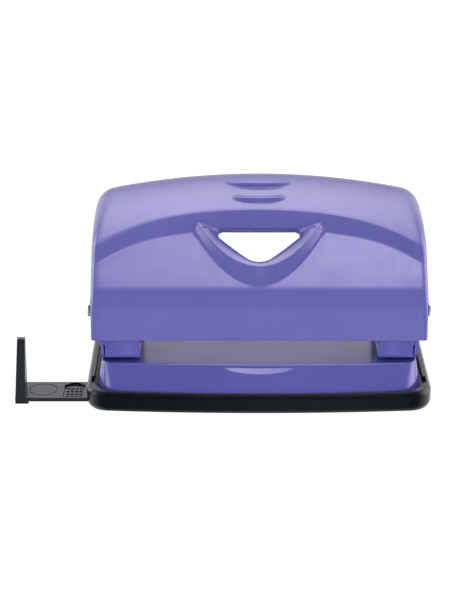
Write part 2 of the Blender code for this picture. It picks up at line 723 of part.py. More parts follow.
# ---- chip tray and paper guide -----------------------------------------
def make_chip_tray(mat):
    """The black tray that catches the chips and carries the paper guide."""
    bm = bmesh.new()
    layers = [(0.0, plan_outline(50.3, TRAY_FRONT + 0.7, TRAY_REAR - 0.7, 6.6, 5.4, 1.7)),
              (0.7, plan_outline(50.9, TRAY_FRONT + 0.1, TRAY_REAR - 0.1, 7.2, 6.0, 1.7)),
              (2.0, plan_outline(TRAY_HALF_WIDTH, TRAY_FRONT, TRAY_REAR, 7.3, 6.0, 1.7)),
              (5.3, plan_outline(50.8, TRAY_FRONT + 0.2, TRAY_REAR - 0.1, 7.2, 6.0, 1.7)),
              (TRAY_RIM, plan_outline(50.2, TRAY_FRONT + 0.75, TRAY_REAR - 0.6, 6.7, 5.5, 1.7)),
              (TRAY_RIM, plan_outline(47.9, -44.0, 43.55, 6.9, 4.6, 1.7)),
              (4.8, plan_outline(47.9, -44.0, 43.55, 6.9, 4.6, 1.7)),
              (4.8, plan_outline(49.2, -44.15, 43.4, 6.9, 4.6, 1.7)),
              (TRAY_FLOOR, plan_outline(49.2, -44.1, 43.4, 6.9, 4.6, 1.7))]
    rings = skin_rings(bm, layers)
    bm.faces.new(reversed(rings[0]))
    bm.faces.new(rings[-1])
    tray = from_bmesh("chip_tray", bm, PUNCH)
    front, rear = GUIDE_FRONT - GAP, GUIDE_REAR + GAP
    add_box(tray, "tray_cover", (-49.4, front - 1.2, 1.0), (49.4, rear + 1.2, 3.4))
    cut_box(tray, "tray_channel", (-TRAY_HALF_WIDTH - OVERLAP, front, -OVERLAP), (47.6, rear, 2.25))
    for i, x in enumerate((-48.6, -17.0, 14.0)):
        add_box(tray, f"tray_lug_{i}", (x, front - 0.8, 0.0), (x + 4.5, rear + 0.8, 0.6))
    for side in (-1, 1):
        for y in (5.0, 24.0):
            rib = sorted((side * 43.5, side * 49.4))
            add_box(tray, f"tray_rib_{side}_{y:.0f}", (rib[0], y, 1.0), (rib[1], y + 1.4, 3.4))
        peg = cylinder_bmesh((side * 47.9, HINGE_Y, HINGE_Z), (1, 0, 0), PEG_RADIUS, 3.4, 24)
        shape(tray, cutter(f"tray_peg_{side}", peg), "UNION")
        notch = sorted((side * 47.5, side * 48.9))
        cut_box(tray, f"tray_notch_{side}", (notch[0], -35.5, 4.0), (notch[1], -31.0, 7.0))
    return finish(tray, mat, (0.0, HINGE_Y, HINGE_Z))


def make_paper_guide(mat):
    """The sliding paper guide: a flat bar with an upright end stop."""
    end = GUIDE_STOP + GUIDE_LENGTH
    bar = box_bmesh((GUIDE_STOP - 0.5, GUIDE_FRONT, GUIDE_LOW), (end, GUIDE_REAR, GUIDE_TOP))
    guide = from_bmesh("paper_guide", bar, PUNCH)
    add_box(guide, "guide_foot", (GUIDE_STOP - 3.0, GUIDE_FRONT, 0.0),
            (GUIDE_STOP + 0.9, GUIDE_REAR, GUIDE_TOP))
    upright = [(GUIDE_FRONT, 1.0), (GUIDE_FRONT + 7.3, 1.0), (GUIDE_FRONT + 1.9, 19.9)]
    upright += arc(GUIDE_FRONT + 0.95, 19.95, 0.95, 0, 180, 4)
    stop = sheet_metal("cut_guide_stop", [upright], 3.0, upright_place(GUIDE_STOP - 1.5), CUTTERS)
    for vert in stop.data.vertices:
        height = (vert.co.z / MM - 1.0) / 19.9
        if vert.co.x / MM < GUIDE_STOP - 1.0:
            vert.co.x += height * 1.2 * MM
    stop.hide_render = True
    stop.display_type = "WIRE"
    shape(guide, stop, "UNION")
    middle = (GUIDE_FRONT + GUIDE_REAR) / 2
    cut_round(guide, "guide_finger", (GUIDE_STOP + 4.9, middle + 0.3, GUIDE_TOP), (0, 0, 1),
              4.1, 0.5, 32)
    cut_box(guide, "guide_window", (-58.1, GUIDE_FRONT + 0.6, 1.5), (-51.9, GUIDE_REAR - 0.4, 2.5))
    return finish(guide, mat, (GUIDE_STOP, middle, GUIDE_LOW))


# ---- assembly -----------------------------------------------------------
def build():
    paint_handle = make_material("handle_paint", PURPLE, 0.28, 0.0)
    paint_base = make_material("base_paint", PURPLE, 0.28, 0.0)
    paint_bracket = make_material("bracket_paint", PURPLE, 0.32, 0.0)
    plastic = make_material("tray_plastic", BLACK, 0.45, 0.0)
    guide_plastic = make_material("guide_plastic", BLACK, 0.5, 0.0)
    steel = make_material("pressed_steel", STEEL, 0.35, 1.0)
    chrome = make_material("chrome", CHROME, 0.12, 1.0)
    wire = make_material("spring_wire", SPRING_STEEL, 0.3, 1.0)

    make_handle(paint_handle)
    make_pressure_bar(steel)
    make_base_plate(paint_base)
    for label, side in (("left", -1), ("right", 1)):
        x = side * PIN_X
        make_bracket("punch_bracket_" + label, side, paint_bracket)
        for i, y in enumerate(RIVET_ROWS):
            make_rivet(f"bracket_rivet_{label}_{i + 1}", x, y, steel)
        make_axle_rivet("axle_rivet_" + label, side, chrome)
        washer = make_ring("axle_washer_" + label, AXLE_RADIUS + GAP, WASHER_RADIUS,
                           -WASHER_SHEET / 2, WASHER_SHEET / 2, 24, steel)
        middle = (EAR_OUTER + HANDLE_HALF_WIDTH - HANDLE_SHEET) / 2
        washer.location = (side * middle * MM, AXLE_Y * MM, AXLE_Z * MM)
        washer.rotation_euler = (0.0, math.pi / 2, 0.0)
        make_pin("punch_pin_" + label, x, steel)
        clip = make_ring("pin_clip_" + label, PIN_RADIUS - GROOVE_DEPTH / 2, CLIP_RADIUS,
                         CLIP_LOW, CLIP_HIGH, 24, steel, 60.0)
        clip.location = (x * MM, PIN_Y * MM, 0.0)
        make_spring("return_spring_" + label, x, wire)
    make_chip_tray(plastic)
    make_paper_guide(guide_plastic)


build()
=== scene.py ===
"""Looks of the two-hole desk punch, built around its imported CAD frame.

Lengths below are millimetres in the CAD's own frame: +Z up, the paper side
towards -Y, the paper guide towards -X. Main positions are read from the frame.
"""

import json
import math

import bmesh
import bpy
import numpy as np
from mathutils import Matrix, Vector


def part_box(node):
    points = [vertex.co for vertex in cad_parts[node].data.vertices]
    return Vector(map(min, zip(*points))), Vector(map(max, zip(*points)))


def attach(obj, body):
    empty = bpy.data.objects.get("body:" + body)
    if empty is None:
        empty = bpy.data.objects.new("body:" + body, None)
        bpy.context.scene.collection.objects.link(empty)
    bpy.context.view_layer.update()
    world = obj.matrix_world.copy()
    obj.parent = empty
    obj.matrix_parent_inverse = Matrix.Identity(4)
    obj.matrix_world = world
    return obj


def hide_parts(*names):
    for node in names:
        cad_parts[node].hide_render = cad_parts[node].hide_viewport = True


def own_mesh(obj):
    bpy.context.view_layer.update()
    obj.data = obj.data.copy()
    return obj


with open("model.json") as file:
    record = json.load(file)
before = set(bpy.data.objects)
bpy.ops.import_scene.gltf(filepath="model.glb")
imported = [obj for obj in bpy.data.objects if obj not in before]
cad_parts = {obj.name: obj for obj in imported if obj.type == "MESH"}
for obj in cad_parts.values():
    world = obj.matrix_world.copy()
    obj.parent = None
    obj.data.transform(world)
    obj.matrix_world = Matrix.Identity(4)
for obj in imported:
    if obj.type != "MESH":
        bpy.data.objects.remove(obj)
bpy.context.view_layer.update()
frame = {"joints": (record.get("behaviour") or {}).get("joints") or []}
MM = 0.001


def node_box(name):
    low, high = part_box(name)
    return low / MM, high / MM


JOINTS = {joint["name"]: joint for joint in frame["joints"]}
AXLE = Vector(JOINTS["handle_pivot"]["pos_m"]) / MM
HINGE = Vector(JOINTS["tray_hinge"]["pos_m"]) / MM
HANDLE_LOW, HANDLE_HIGH = node_box("handle")
PLATE_HIGH = node_box("base_plate")[1]
TRAY_LOW, TRAY_HIGH = node_box("chip_tray")
GUIDE_LOW, GUIDE_HIGH = node_box("paper_guide")
BRACKET_LOW, BRACKET_HIGH = node_box("punch_bracket_right")
PIN_LOW, PIN_HIGH = node_box("punch_pin_right")
CLIP_LOW, CLIP_HIGH = node_box("pin_clip_right")
SPRING_LOW, SPRING_HIGH = node_box("return_spring_right")
BAR_LOW, BAR_HIGH = node_box("pressure_bar")
PIN_X = (PIN_LOW.x + PIN_HIGH.x) / 2
PIN_Y = (PIN_LOW.y + PIN_HIGH.y) / 2
PIN_RADIUS = (PIN_HIGH.x - PIN_LOW.x) / 2
GAP = 0.3                      # clearance between parts, as in the CAD
WELD = 0.0005                  # points nearer than this become one point
ALONG_X = (1, 0, 0)
ALONG_Z = (0, 0, 1)


# ---- mesh helpers ----
def to_object(name, bm, sharp=None):
    """A smooth shaded object from a closed bmesh in millimetres."""
    bmesh.ops.recalc_face_normals(bm, faces=bm.faces)
    bmesh.ops.remove_doubles(bm, verts=bm.verts, dist=WELD)
    bmesh.ops.scale(bm, vec=(MM, MM, MM), verts=bm.verts)
    mesh = bpy.data.meshes.new(name)
    bm.to_mesh(mesh)
    bm.free()
    obj = bpy.data.objects.new(name, mesh)
    bpy.context.scene.collection.objects.link(obj)
    return shade(obj, sharp)


def shade(obj, sharp=None):
    """Smooth shading, with edges steeper than the sharp angle in degrees left hard."""
    obj.data.shade_smooth()
    if sharp is not None:
        obj.data.set_sharp_from_angle(angle=math.radians(sharp))
    return obj


def move(obj, x, y, z=0.0):
    obj.location = (x * MM, y * MM, z * MM)


def apply_modifiers(obj):
    """Turn the modified shape into the object's own mesh."""
    bpy.context.view_layer.update()
    graph = bpy.context.evaluated_depsgraph_get()
    mesh = bpy.data.meshes.new_from_object(obj.evaluated_get(graph))
    obj.modifiers.clear()
    obj.data = mesh


def boolean(obj, operation, others):
    for other in others:
        mod = obj.modifiers.new(operation, "BOOLEAN")
        mod.operation = operation
        mod.solver = "EXACT"
        mod.object = other
        apply_modifiers(obj)
        bpy.data.objects.remove(other, do_unlink=True)


def add(obj, *others):
    boolean(obj, "UNION", others)


def cut(obj, *others):
    boolean(obj, "DIFFERENCE", others)


def round_edges(obj, width, angle=40.0, sharp=None):
    """Bevel the hard edges, width in millimetres, then shade the piece."""
    mod = obj.modifiers.new("rounding", "BEVEL")
    mod.width = width * MM
    mod.segments = 2
    mod.limit_method = "ANGLE"
    mod.angle_limit = math.radians(angle)
    mod.use_clamp_overlap = True
    mod.harden_normals = False
    apply_modifiers(obj)
    shade(obj, sharp)


def box(name, low, high):
    bm = bmesh.new()
    bmesh.ops.create_cube(bm, size=1.0)
    size = [b - a for a, b in zip(low, high)]
    centre = [(a + b) / 2 for a, b in zip(low, high)]
    bmesh.ops.scale(bm, vec=size, verts=bm.verts)
    bmesh.ops.translate(bm, vec=centre, verts=bm.verts)
    return to_object(name, bm)


def cylinder(name, centre, axis, radius, length, segments=48):
    bm = bmesh.new()
    turn = Vector(ALONG_Z).rotation_difference(Vector(axis)).to_matrix().to_4x4()
    bmesh.ops.create_cone(bm, cap_ends=True, segments=segments, radius1=radius,
                          radius2=radius, depth=length,
                          matrix=Matrix.Translation(centre) @ turn)
    return to_object(name, bm)


def bridge(bm, rings, flip=False):
    """Join each ring of vertices to the next one with faces."""
    count = len(rings[0])
    for a, b in zip(rings, rings[1:]):
        for i in range(count):
            j = (i + 1) % count
            bm.faces.new((a[i], a[j], b[j], b[i]) if flip else (a[j], a[i], b[i], b[j]))


def solid(name, ends):
    """A closed solid between two outlines that have the same number of points."""
    bm = bmesh.new()
    rings = [[bm.verts.new(point) for point in end] for end in ends]
    bm.faces.new(rings[0])
    bm.faces.new(reversed(rings[1]))
    bridge(bm, rings)
    return to_object(name, bm)


def prism(name, outline, low, high, axis="X"):
    """A flat outline carried along an axis from low to high: (y, z) along X, (x, y) along Z."""
    if axis == "X":
        return solid(name, [[(level, u, v) for u, v in outline] for level in (low, high)])
    return solid(name, [[(u, v, level) for u, v in outline] for level in (low, high)])


def turned(name, profile, segments=64):
    """A turned solid: (radius, height) points from top to bottom, both ends on the axis."""
    bm = bmesh.new()
    rings = []
    for radius, height in profile:
        if radius < 1e-6:
            rings.append([bm.verts.new((0.0, 0.0, height))])
            continue
        angles = [2 * math.pi * i / segments for i in range(segments)]
        rings.append([bm.verts.new((radius * math.cos(a), radius * math.sin(a), height))
                      for a in angles])
    for upper, lower in zip(rings, rings[1:]):
        for i in range(segments):
            j = (i + 1) % segments
            if len(upper) == 1:
                bm.faces.new((upper[0], lower[i], lower[j]))
            elif len(lower) == 1:
                bm.faces.new((upper[j], upper[i], lower[0]))
            else:
                bm.faces.new((upper[i], lower[i], lower[j], upper[j]))
    return to_object(name, bm, 50.0)


def rounded(profile, radius, steps=3):
    """A (radius, height) profile with its inner corners rounded."""
    points = [Vector(p) for p in profile]
    out = [points[0]]
    for before, corner, after in zip(points, points[1:], points[2:]):
        reach = min(radius, (before - corner).length / 2.1, (after - corner).length / 2.1)
        a = corner + (before - corner).normalized() * reach
        b = corner + (after - corner).normalized() * reach
        for i in range(steps + 1):
            t = i / steps
            out.append((1 - t) ** 2 * a + 2 * t * (1 - t) * corner + t * t * b)
    out.append(points[-1])
    return [tuple(p) for p in out]


def arc(cx, cy, radius, start, end, steps):
    """Points on a circle, angles in degrees, both ends included."""
    angles = [math.radians(start + (end - start) * i / steps) for i in range(steps + 1)]
    return [(cx + radius * math.cos(a), cy + radius * math.sin(a)) for a in angles]


def smooth(t):
    t = min(max(t, 0.0), 1.0)
    return t * t * (3 - 2 * t)


def mix(a, b, t):
    return a + (b - a) * t


def bezier(a, b, c, t):
    return (1 - t) ** 2 * a + 2 * t * (1 - t) * b + t * t * c


# ---- node helpers ----
class Nodes:
    """A node tree with short names for what the looks need."""

    def __init__(self, tree):
        self.tree = tree

    def node(self, kind, **settings):
        made = self.tree.nodes.new(kind)
        for key, value in settings.items():
            setattr(made, key, value)
        return made

    def feed(self, socket, value):
        """Give a socket a plain value or link it to another node's output."""
        if isinstance(value, bpy.types.NodeSocket):
            self.tree.links.new(value, socket)
        else:
            socket.default_value = value

    def math(self, operation, a, b=0.0):
        made = self.node("ShaderNodeMath", operation=operation)
        self.feed(made.inputs[0], a)
        self.feed(made.inputs[1], b)
        return made.outputs["Value"]

    def plus(self, a, b):
        return self.math("ADD", a, b)

    def times(self, a, b):
        return self.math("MULTIPLY", a, b)

    def ramp(self, source, stops):
        """A colour ramp of (position, value or colour)."""
        made = self.node("ShaderNodeValToRGB")
        elements = made.color_ramp.elements
        while len(elements) < len(stops):
            elements.new(0.5)
        for element, (place, value) in zip(elements, stops):
            element.position = place
            element.color = value if isinstance(value, tuple) else (value, value, value, 1.0)
        self.feed(made.inputs["Fac"], source)
        return made.outputs["Color"]

    def step(self, value, low, high):
        made = self.node("ShaderNodeMapRange", interpolation_type="SMOOTHSTEP")
        self.feed(made.inputs["Value"], value)
        self.feed(made.inputs["From Min"], low)
        self.feed(made.inputs["From Max"], high)
        return made.outputs["Result"]

    def between(self, factor, a, b):
        """A number between two others."""
        made = self.node("ShaderNodeMix", data_type="FLOAT")
        for index, value in ((0, factor), (2, a), (3, b)):
            self.feed(made.inputs[index], value)
        return made.outputs[0]

    def blend(self, factor, a, b, blend_type="MIX"):
        """A colour between two others."""
        made = self.node("ShaderNodeMix", data_type="RGBA", blend_type=blend_type)
        for index, value in ((0, factor), (6, a), (7, b)):
            self.feed(made.inputs[index], value)
        return made.outputs[2]


class Shader(Nodes):
    """A material's nodes, measured in the piece's own coordinates."""

    def __init__(self, name):
        self.material = bpy.data.materials.new(name)
        self.material.use_nodes = True
        super().__init__(self.material.node_tree)
        self.surface = self.tree.nodes["Principled BSDF"]
        self.position = self.node("ShaderNodeTexCoord").outputs["Object"]

    def put(self, **inputs):
        """Set or link the surface's own inputs."""
        for name, value in inputs.items():
            self.feed(self.surface.inputs[name.replace("_", " ")], value)

    def noise(self, scale, detail=2.0, roughness=0.5, stretch=None):
        """Noise with scale in cells per millimetre."""
        made = self.node("ShaderNodeTexNoise")
        self.feed(made.inputs["Scale"], scale / MM)
        self.feed(made.inputs["Detail"], detail)
        self.feed(made.inputs["Roughness"], roughness)
        source = self.position
        if stretch:
            mapping = self.node("ShaderNodeMapping")
            self.feed(mapping.inputs["Scale"], stretch)
            self.feed(mapping.inputs["Vector"], source)
            source = mapping.outputs["Vector"]
        self.feed(made.inputs["Vector"], source)
        return made.outputs["Fac"]

    def bump(self, height, strength, distance):
        """Bump with its distance in millimetres."""
        made = self.node("ShaderNodeBump")
        self.feed(made.inputs["Strength"], strength)
        self.feed(made.inputs["Distance"], distance * MM)
        self.feed(made.inputs["Height"], height)
        return made.outputs["Normal"]

    def edges(self, low, high):
        """White on worn convex edges, from the mesh's pointiness."""
        geometry = self.node("ShaderNodeNewGeometry")
        return self.ramp(geometry.outputs["Pointiness"], ((low, 0.0), (high, 1.0)))


WHITE = (1.0, 1.0, 1.0, 1.0)
ENAMEL = (0.118, 0.111, 0.398)
BASE_ENAMEL = (0.094, 0.092, 0.392)
BRACKET_ENAMEL = (0.100, 0.096, 0.400)
BLACK = (0.006, 0.009, 0.015)
DUST = (0.10, 0.10, 0.11, 1.0)
WORN_BLACK = (0.045, 0.047, 0.052, 1.0)
DULL_SHEEN = (0.30, 0.38, 0.42, 1.0)   # tint of the black plastics' reflections
MOTTLE = (0.97, 0.97, 0.98, 1.0)


def scaled(colour, factor):
    return tuple(c * factor for c in colour[:3]) + (1.0,)


def enamel(name, colour):
    """Glossy enamel over pressed steel: orange peel, faint mottling and rubbed edges."""
    s = Shader(name)
    cloud = s.noise(0.05, 3.0, 0.6)
    mottle = s.noise(0.9, 2.0, 0.6)
    base = s.ramp(cloud, ((0.3, scaled(colour, 0.95)), (0.7, scaled(colour, 1.05))))
    grain = s.ramp(mottle, ((0.3, MOTTLE), (0.7, WHITE)))
    base = s.blend(1.0, base, grain, "MULTIPLY")
    worn = s.edges(0.56, 0.66)
    nicks = s.ramp(s.noise(0.6, 4.0, 0.7), ((0.50, 0.0), (0.62, 0.35)))
    rub = s.times(worn, nicks)
    base = s.blend(rub, base, scaled(colour, 1.6))
    s.put(Base_Color=base)
    gloss = s.ramp(s.noise(0.25, 4.0, 0.65), ((0.35, 0.17), (0.65, 0.23)))
    s.put(Roughness=gloss)
    peel = s.noise(0.55, 1.0, 0.4)
    fine = s.noise(2.6, 2.0, 0.5)
    height = s.plus(peel, s.times(fine, 0.12))
    s.put(Normal=s.bump(height, 0.30, 0.035))
    s.put(IOR=1.5)
    return s.material


def moulded(name, colour, rough, ior):
    """Black moulded plastic: fine spark-eroded grain, slight flow marks, paler rubbed edges."""
    s = Shader(name)
    flow = s.noise(0.04, 3.0, 0.6, (1.0, 0.35, 1.0))
    base = s.ramp(flow, ((0.3, scaled(colour, 0.8)), (0.7, scaled(colour, 1.25))))
    dust = s.ramp(s.noise(1.3, 5.0, 0.75), ((0.56, 0.0), (0.72, 0.10)))
    base = s.blend(dust, base, DUST)
    worn = s.times(s.edges(0.54, 0.62), 0.3)
    base = s.blend(worn, base, WORN_BLACK)
    s.put(Base_Color=base)
    gloss = s.ramp(s.noise(0.4, 4.0, 0.6), ((0.3, rough - 0.06), (0.7, rough + 0.07)))
    s.put(Roughness=gloss)
    grain = s.noise(4.5, 2.0, 0.6)
    s.put(Normal=s.bump(grain, 0.35, 0.02))
    s.put(IOR=ior)
    s.put(Specular_Tint=DULL_SHEEN)
    return s.material


def metal(name, colour, rough, stretch=(1.0, 1.0, 12.0), scratch=0.25):
    """Bare metal with drawing or grinding marks along one direction and cloudy dulling."""
    s = Shader(name)
    cloud = s.noise(0.25, 4.0, 0.65)
    base = s.ramp(cloud, ((0.3, scaled(colour, 0.82)), (0.7, scaled(colour, 1.06))))
    s.put(Base_Color=base)
    marks = s.noise(2.2, 3.0, 0.6, stretch)
    gloss = s.ramp(marks, ((0.3, max(0.05, rough - 0.08)), (0.7, rough + 0.10)))
    s.put(Roughness=gloss)
    s.put(Normal=s.bump(marks, scratch, 0.01))
    s.put(Metallic=1.0)
    return s.material


HANDLE_PAINT = enamel("handle_enamel", ENAMEL)
BASE_PAINT = enamel("base_enamel", BASE_ENAMEL)
BRACKET_PAINT = enamel("bracket_enamel", BRACKET_ENAMEL)
TRAY_PLASTIC = moulded("tray_black", scaled(BLACK, 0.35), 0.24, 1.45)
GUIDE_PLASTIC = moulded("guide_black", scaled(BLACK, 0.5), 0.25, 1.5)
STEEL = metal("plain_steel", (0.60, 0.60, 0.62), 0.32)
CHROME = metal("bright_rivet", (0.82, 0.82, 0.84), 0.14, (1.0, 1.0, 1.0), 0.15)
WIRE = metal("spring_wire_steel", (0.62, 0.62, 0.64), 0.22, (6.0, 6.0, 1.0), 0.2)


def place(obj, material, body, slot, *nodes):
    """Give a finished piece its material and its body, and hide the CAD nodes that it stands for."""
    obj.data.materials.clear()
    obj.data.materials.append(material)
    for polygon in obj.data.polygons:
        polygon.material_index = 0
    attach(obj, body)
    if nodes:
        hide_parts(*nodes)


# ---- handle: driving shape ----
HANDLE_HALF_WIDTH = HANDLE_HIGH.x
HANDLE_SHEET = 0.9
SKIRT_Y = HANDLE_LOW.y
SKIRT_LOW = HANDLE_LOW.z
SKIRT_HIGH = SKIRT_LOW + 8.2
SLOPE_FOOT = np.array([SKIRT_Y + 3.1, SKIRT_LOW + 16.2])
SLOPE_ANGLE = math.radians(46.0)
SLOPE_UP = np.array([math.cos(SLOPE_ANGLE), math.sin(SLOPE_ANGLE)])
SLOPE_OUT = np.array([-math.sin(SLOPE_ANGLE), math.cos(SLOPE_ANGLE)])
CROWN_Y = SKIRT_Y + 33.6
CROWN_Z = SKIRT_LOW + 38.8
CROWN_RADIUS = 37.5
CROWN_FALL = 0.00228
REAR_ANGLE = math.radians(-54.0)
FILLET = 1.1
SLOPE_CAMBER = 0.12            # slight bulge of the front slope
# The step is an arch: a height in the middle, less so much per square and fourth power of x.
STEP_FOOT = (18.0, 0.0012, 1.65e-6)    # distance up the slope
STEP_EDGE = (-22.4, 0.00099, 0.71e-6)  # y on the crown
INNER_FILLET = 0.35            # fillet at the step's foot inside the lip
LIP_FOOT = (-0.6, 0.0465)      # the lip's foot and ridge up the slope, and their spread
LIP_RIDGE = (4.45, 0.0442)
LIP_HEIGHT = 3.3
LIP_CREST = 0.3                # rounded length behind the ridge
LIP_TOE = 0.8                  # height below which the lip runs out softly
LIP_FALL = 0.62                # how steeply the lip falls towards the hole
# Raised thumb bars on the crown: ridge y, half width, height, length of the rear fall and how
# far the ridge runs back towards the tips for each millimetre that it gets lower.
THUMB_BARS = ((-11.4, 9.5, 1.3, 2.9, 2.2), (-19.1, 7.6, 1.45, 2.6, 1.36))
THUMB_FRONT = 0.68             # depth of a bar's front face as a share of its height


def slope_point(s):
    return SLOPE_FOOT + s * SLOPE_UP


def crown_point(x, angle):
    """(y, z) on the rounded top where its tangent makes this angle."""
    top = CROWN_Z - CROWN_FALL * x * x
    return np.array([CROWN_Y - CROWN_RADIUS * math.sin(angle),
                     top - CROWN_RADIUS * (1 - math.cos(angle))])


def arch(terms, x):
    middle, square, fourth = terms
    return middle - square * x * x - fourth * x ** 4


def step_foot(x):
    """How far up the slope the arched step starts."""
    return arch(STEP_FOOT, x)


def step_edge(x):
    """The crown's tangent angle where the arched step ends."""
    return math.asin((CROWN_Y - arch(STEP_EDGE, x)) / CROWN_RADIUS)


def crown_start(x):
    return step_edge(x) - FILLET / CROWN_RADIUS


def step_height(x):
    rise = crown_point(x, step_edge(x)) - slope_point(step_foot(x))
    return np.linalg.norm(rise)


def foot_fillet(x):
    """Rounding at the foot of the step: tight inside the lip, soft outside it."""
    return mix(INNER_FILLET, FILLET, smooth((abs(x) - 18.0) / 5.0))


def lip_line(terms, x):
    return terms[0] + terms[1] * x * x


def wall_rise(t):
    """Share of the lip's height at a share t of its wall: soft foot, straight wall, tight crest."""
    soft, tight = 0.5, 0.09
    steep = 1 / (1 - soft / 2 - tight / 2)
    if t <= 0.0:
        return 0.0
    if t < soft:
        return steep * t * t / (2 * soft)
    rise = steep * (t - soft / 2)
    if t > 1 - tight:
        rise -= steep * (t - 1 + tight) ** 2 / (2 * tight)
    return rise


def lip_height(x, s):
    """Height of the V-shaped lip around the finger hole above the slope."""
    foot, ridge = lip_line(LIP_FOOT, x), lip_line(LIP_RIDGE, x)
    height = LIP_HEIGHT - smooth(abs(x) / 18.0) - 0.4 * smooth((abs(x) - 14.0) / 4.0)
    if s <= ridge:
        return height * wall_rise((s - foot) / (ridge - foot))
    inside = (s - ridge) / math.hypot(1.0, 2 * LIP_RIDGE[1] * x)
    if inside < LIP_CREST:
        left = height - LIP_FALL * (inside ** 2 / (2 * LIP_CREST))
    else:
        left = height - LIP_FALL * (inside - LIP_CREST / 2)
    return left if left > LIP_TOE else LIP_TOE * math.exp((left - LIP_TOE) / LIP_TOE)


def front_point(x, s):
    """(y, z) of the outer skin at x, a distance s up its profile from the slope's foot."""
    foot, height = step_foot(x), step_height(x)
    corner = slope_point(foot)
    brow = crown_point(x, step_edge(x))
    rise = (brow - corner) / height
    soft = foot_fillet(x)
    if s <= foot - soft:
        point = slope_point(s)
    elif s < foot + soft:
        point = bezier(slope_point(foot - soft), corner, corner + soft * rise,
                       (s - foot + soft) / (2 * soft))
    elif s <= foot + height - FILLET:
        point = corner + (s - foot) * rise
    else:
        t = min((s - foot - height + FILLET) / (2 * FILLET), 1.0)
        point = bezier(brow - FILLET * rise, brow, crown_point(x, crown_start(x)), t)
    beyond = max(s - foot, 0.0)
    lip = lip_height(x, min(s, foot) + beyond * (rise @ SLOPE_UP)) - beyond * (rise @ SLOPE_OUT)
    blend = 0.12 if s > foot else 0.0
    lip = (lip + math.hypot(lip, blend)) / 2
    fade = 1 - smooth((s - foot) / height)
    camber = SLOPE_CAMBER * math.sin(math.pi * min(s / foot, 1.0))
    return point + (lip * fade + camber) * SLOPE_OUT


def thumb_bar(x, y):
    """Height of the two raised thumb bars on the crown."""
    total = 0.0
    for middle_ridge, half_width, height, rear, back in THUMB_BARS:
        across = abs(x) / half_width
        if across >= 1.0:
            continue
        top = height * (1 - across ** 2) ** 0.5
        ridge = middle_ridge + back * (height - top)
        if y < ridge:
            total += top * (1 - smooth((ridge - y) / (THUMB_FRONT * top)))
        else:
            total += top * (1 - smooth((y - ridge) / rear))
    return total


# Rows of the skin between the slope's foot and the crown: section name and number of steps.
FRONT_ROWS = (("below_lip", 10), ("lip_wall", 16), ("above_lip", 14), ("foot", 6),
              ("step", 14), ("edge", 6))
SLOPE_ROWS = 40                # rows of the first three sections together
SKIRT_ROWS = 7
ROLL_ROWS = 12


def row_distance(x, name, t, index):
    """Distance up the profile of a row, following the lip near the middle."""
    foot, height = step_foot(x), step_height(x)
    soft = foot_fillet(x)
    end = foot - soft
    if name in ("below_lip", "lip_wall", "above_lip"):
        low = min(max(lip_line(LIP_FOOT, x), 0.02 * end), 0.88 * end)
        ridge = min(max(lip_line(LIP_RIDGE, x), low + 0.05 * end), 0.95 * end)
        starts = {"below_lip": (0.0, low), "lip_wall": (low, ridge), "above_lip": (ridge, end)}
        followed = mix(*starts[name], t)
        return mix(followed, end * index / SLOPE_ROWS, smooth((abs(x) - 20.0) / 10.0))
    if name == "foot":
        return mix(end, foot + soft, t)
    if name == "step":
        return mix(foot + soft, foot + height - FILLET, t)
    return mix(foot + height - FILLET, foot + height + FILLET, t)


def crown_rows():
    """Crown rows as y in the middle plane, close together over the thumb bars' fronts."""
    y = crown_point(0.0, crown_start(0.0))[0]
    rows = []
    end = crown_point(0.0, REAR_ANGLE)[0]
    while y < end:
        near = any(ridge - 1.1 < y < ridge + 3.0 for ridge, *_ in THUMB_BARS)
        step = 0.14 if near else 0.5 if y < 0.0 else 1.1
        y += step
        rows.append(min(y, end))
    return rows


def crown_angle(x, y_middle):
    """Tangent angle of a crown row at x: the first rows follow the arched step."""
    angle = math.asin((CROWN_Y - y_middle) / CROWN_RADIUS)
    start = crown_point(0.0, crown_start(0.0))[0]
    follow = 1 - smooth((y_middle - start) / 6.0)
    return angle + (crown_start(x) - crown_start(0.0)) * follow


def skin_rows():
    """Every row of the skin, as (name, value, index)."""
    rows = [("skirt", i / SKIRT_ROWS, i) for i in range(SKIRT_ROWS)]
    rows += [("roll", i / ROLL_ROWS, i) for i in range(ROLL_ROWS)]
    index = 0
    for name, count in FRONT_ROWS:
        for i in range(count):
            rows.append((name, i / count, index))
            index += 1
    rows.append(("edge", 1.0, index))
    rows += [("crown", y, 0) for y in crown_rows()]
    return rows


def skin_point(x, row):
    name, value, index = row
    if name == "skirt":
        return np.array([SKIRT_Y, SKIRT_LOW + value * (SKIRT_HIGH - SKIRT_LOW)])
    if name == "roll":
        bend = np.array([SKIRT_Y, SLOPE_FOOT[1] - (SLOPE_FOOT[0] - SKIRT_Y) * math.tan(SLOPE_ANGLE)])
        return bezier(np.array([SKIRT_Y, SKIRT_HIGH]), bend, SLOPE_FOOT, value)
    if name == "crown":
        angle = crown_angle(x, value)
        point = crown_point(x, angle)
        out = np.array([-math.sin(angle), math.cos(angle)])
        return point + thumb_bar(x, point[0]) * out
    return front_point(x, row_distance(x, name, value, index))


# Steps of the side edge's radius: where it starts to change, over what share, by how much.
SIDE_RADIUS = 1.05
RADIUS_STEPS = ((0.0, 0.12, 0.8), (0.3, 0.27, 5.0), (0.76, 0.18, -3.0))
LOW_EDGE_FRONT = -33.0
LOW_EDGE_LENGTH = 56.0


def low_edge(share):
    """(y, z) on the side wall's low edge, share 0 at the front and 1 at the rear."""
    y = LOW_EDGE_FRONT + LOW_EDGE_LENGTH * share
    rise = 14.5 * smooth((y + 29.0) / 58.0) + 1.2 * smooth((share - 0.72) / 0.26)
    return np.array([y, SKIRT_LOW + rise])


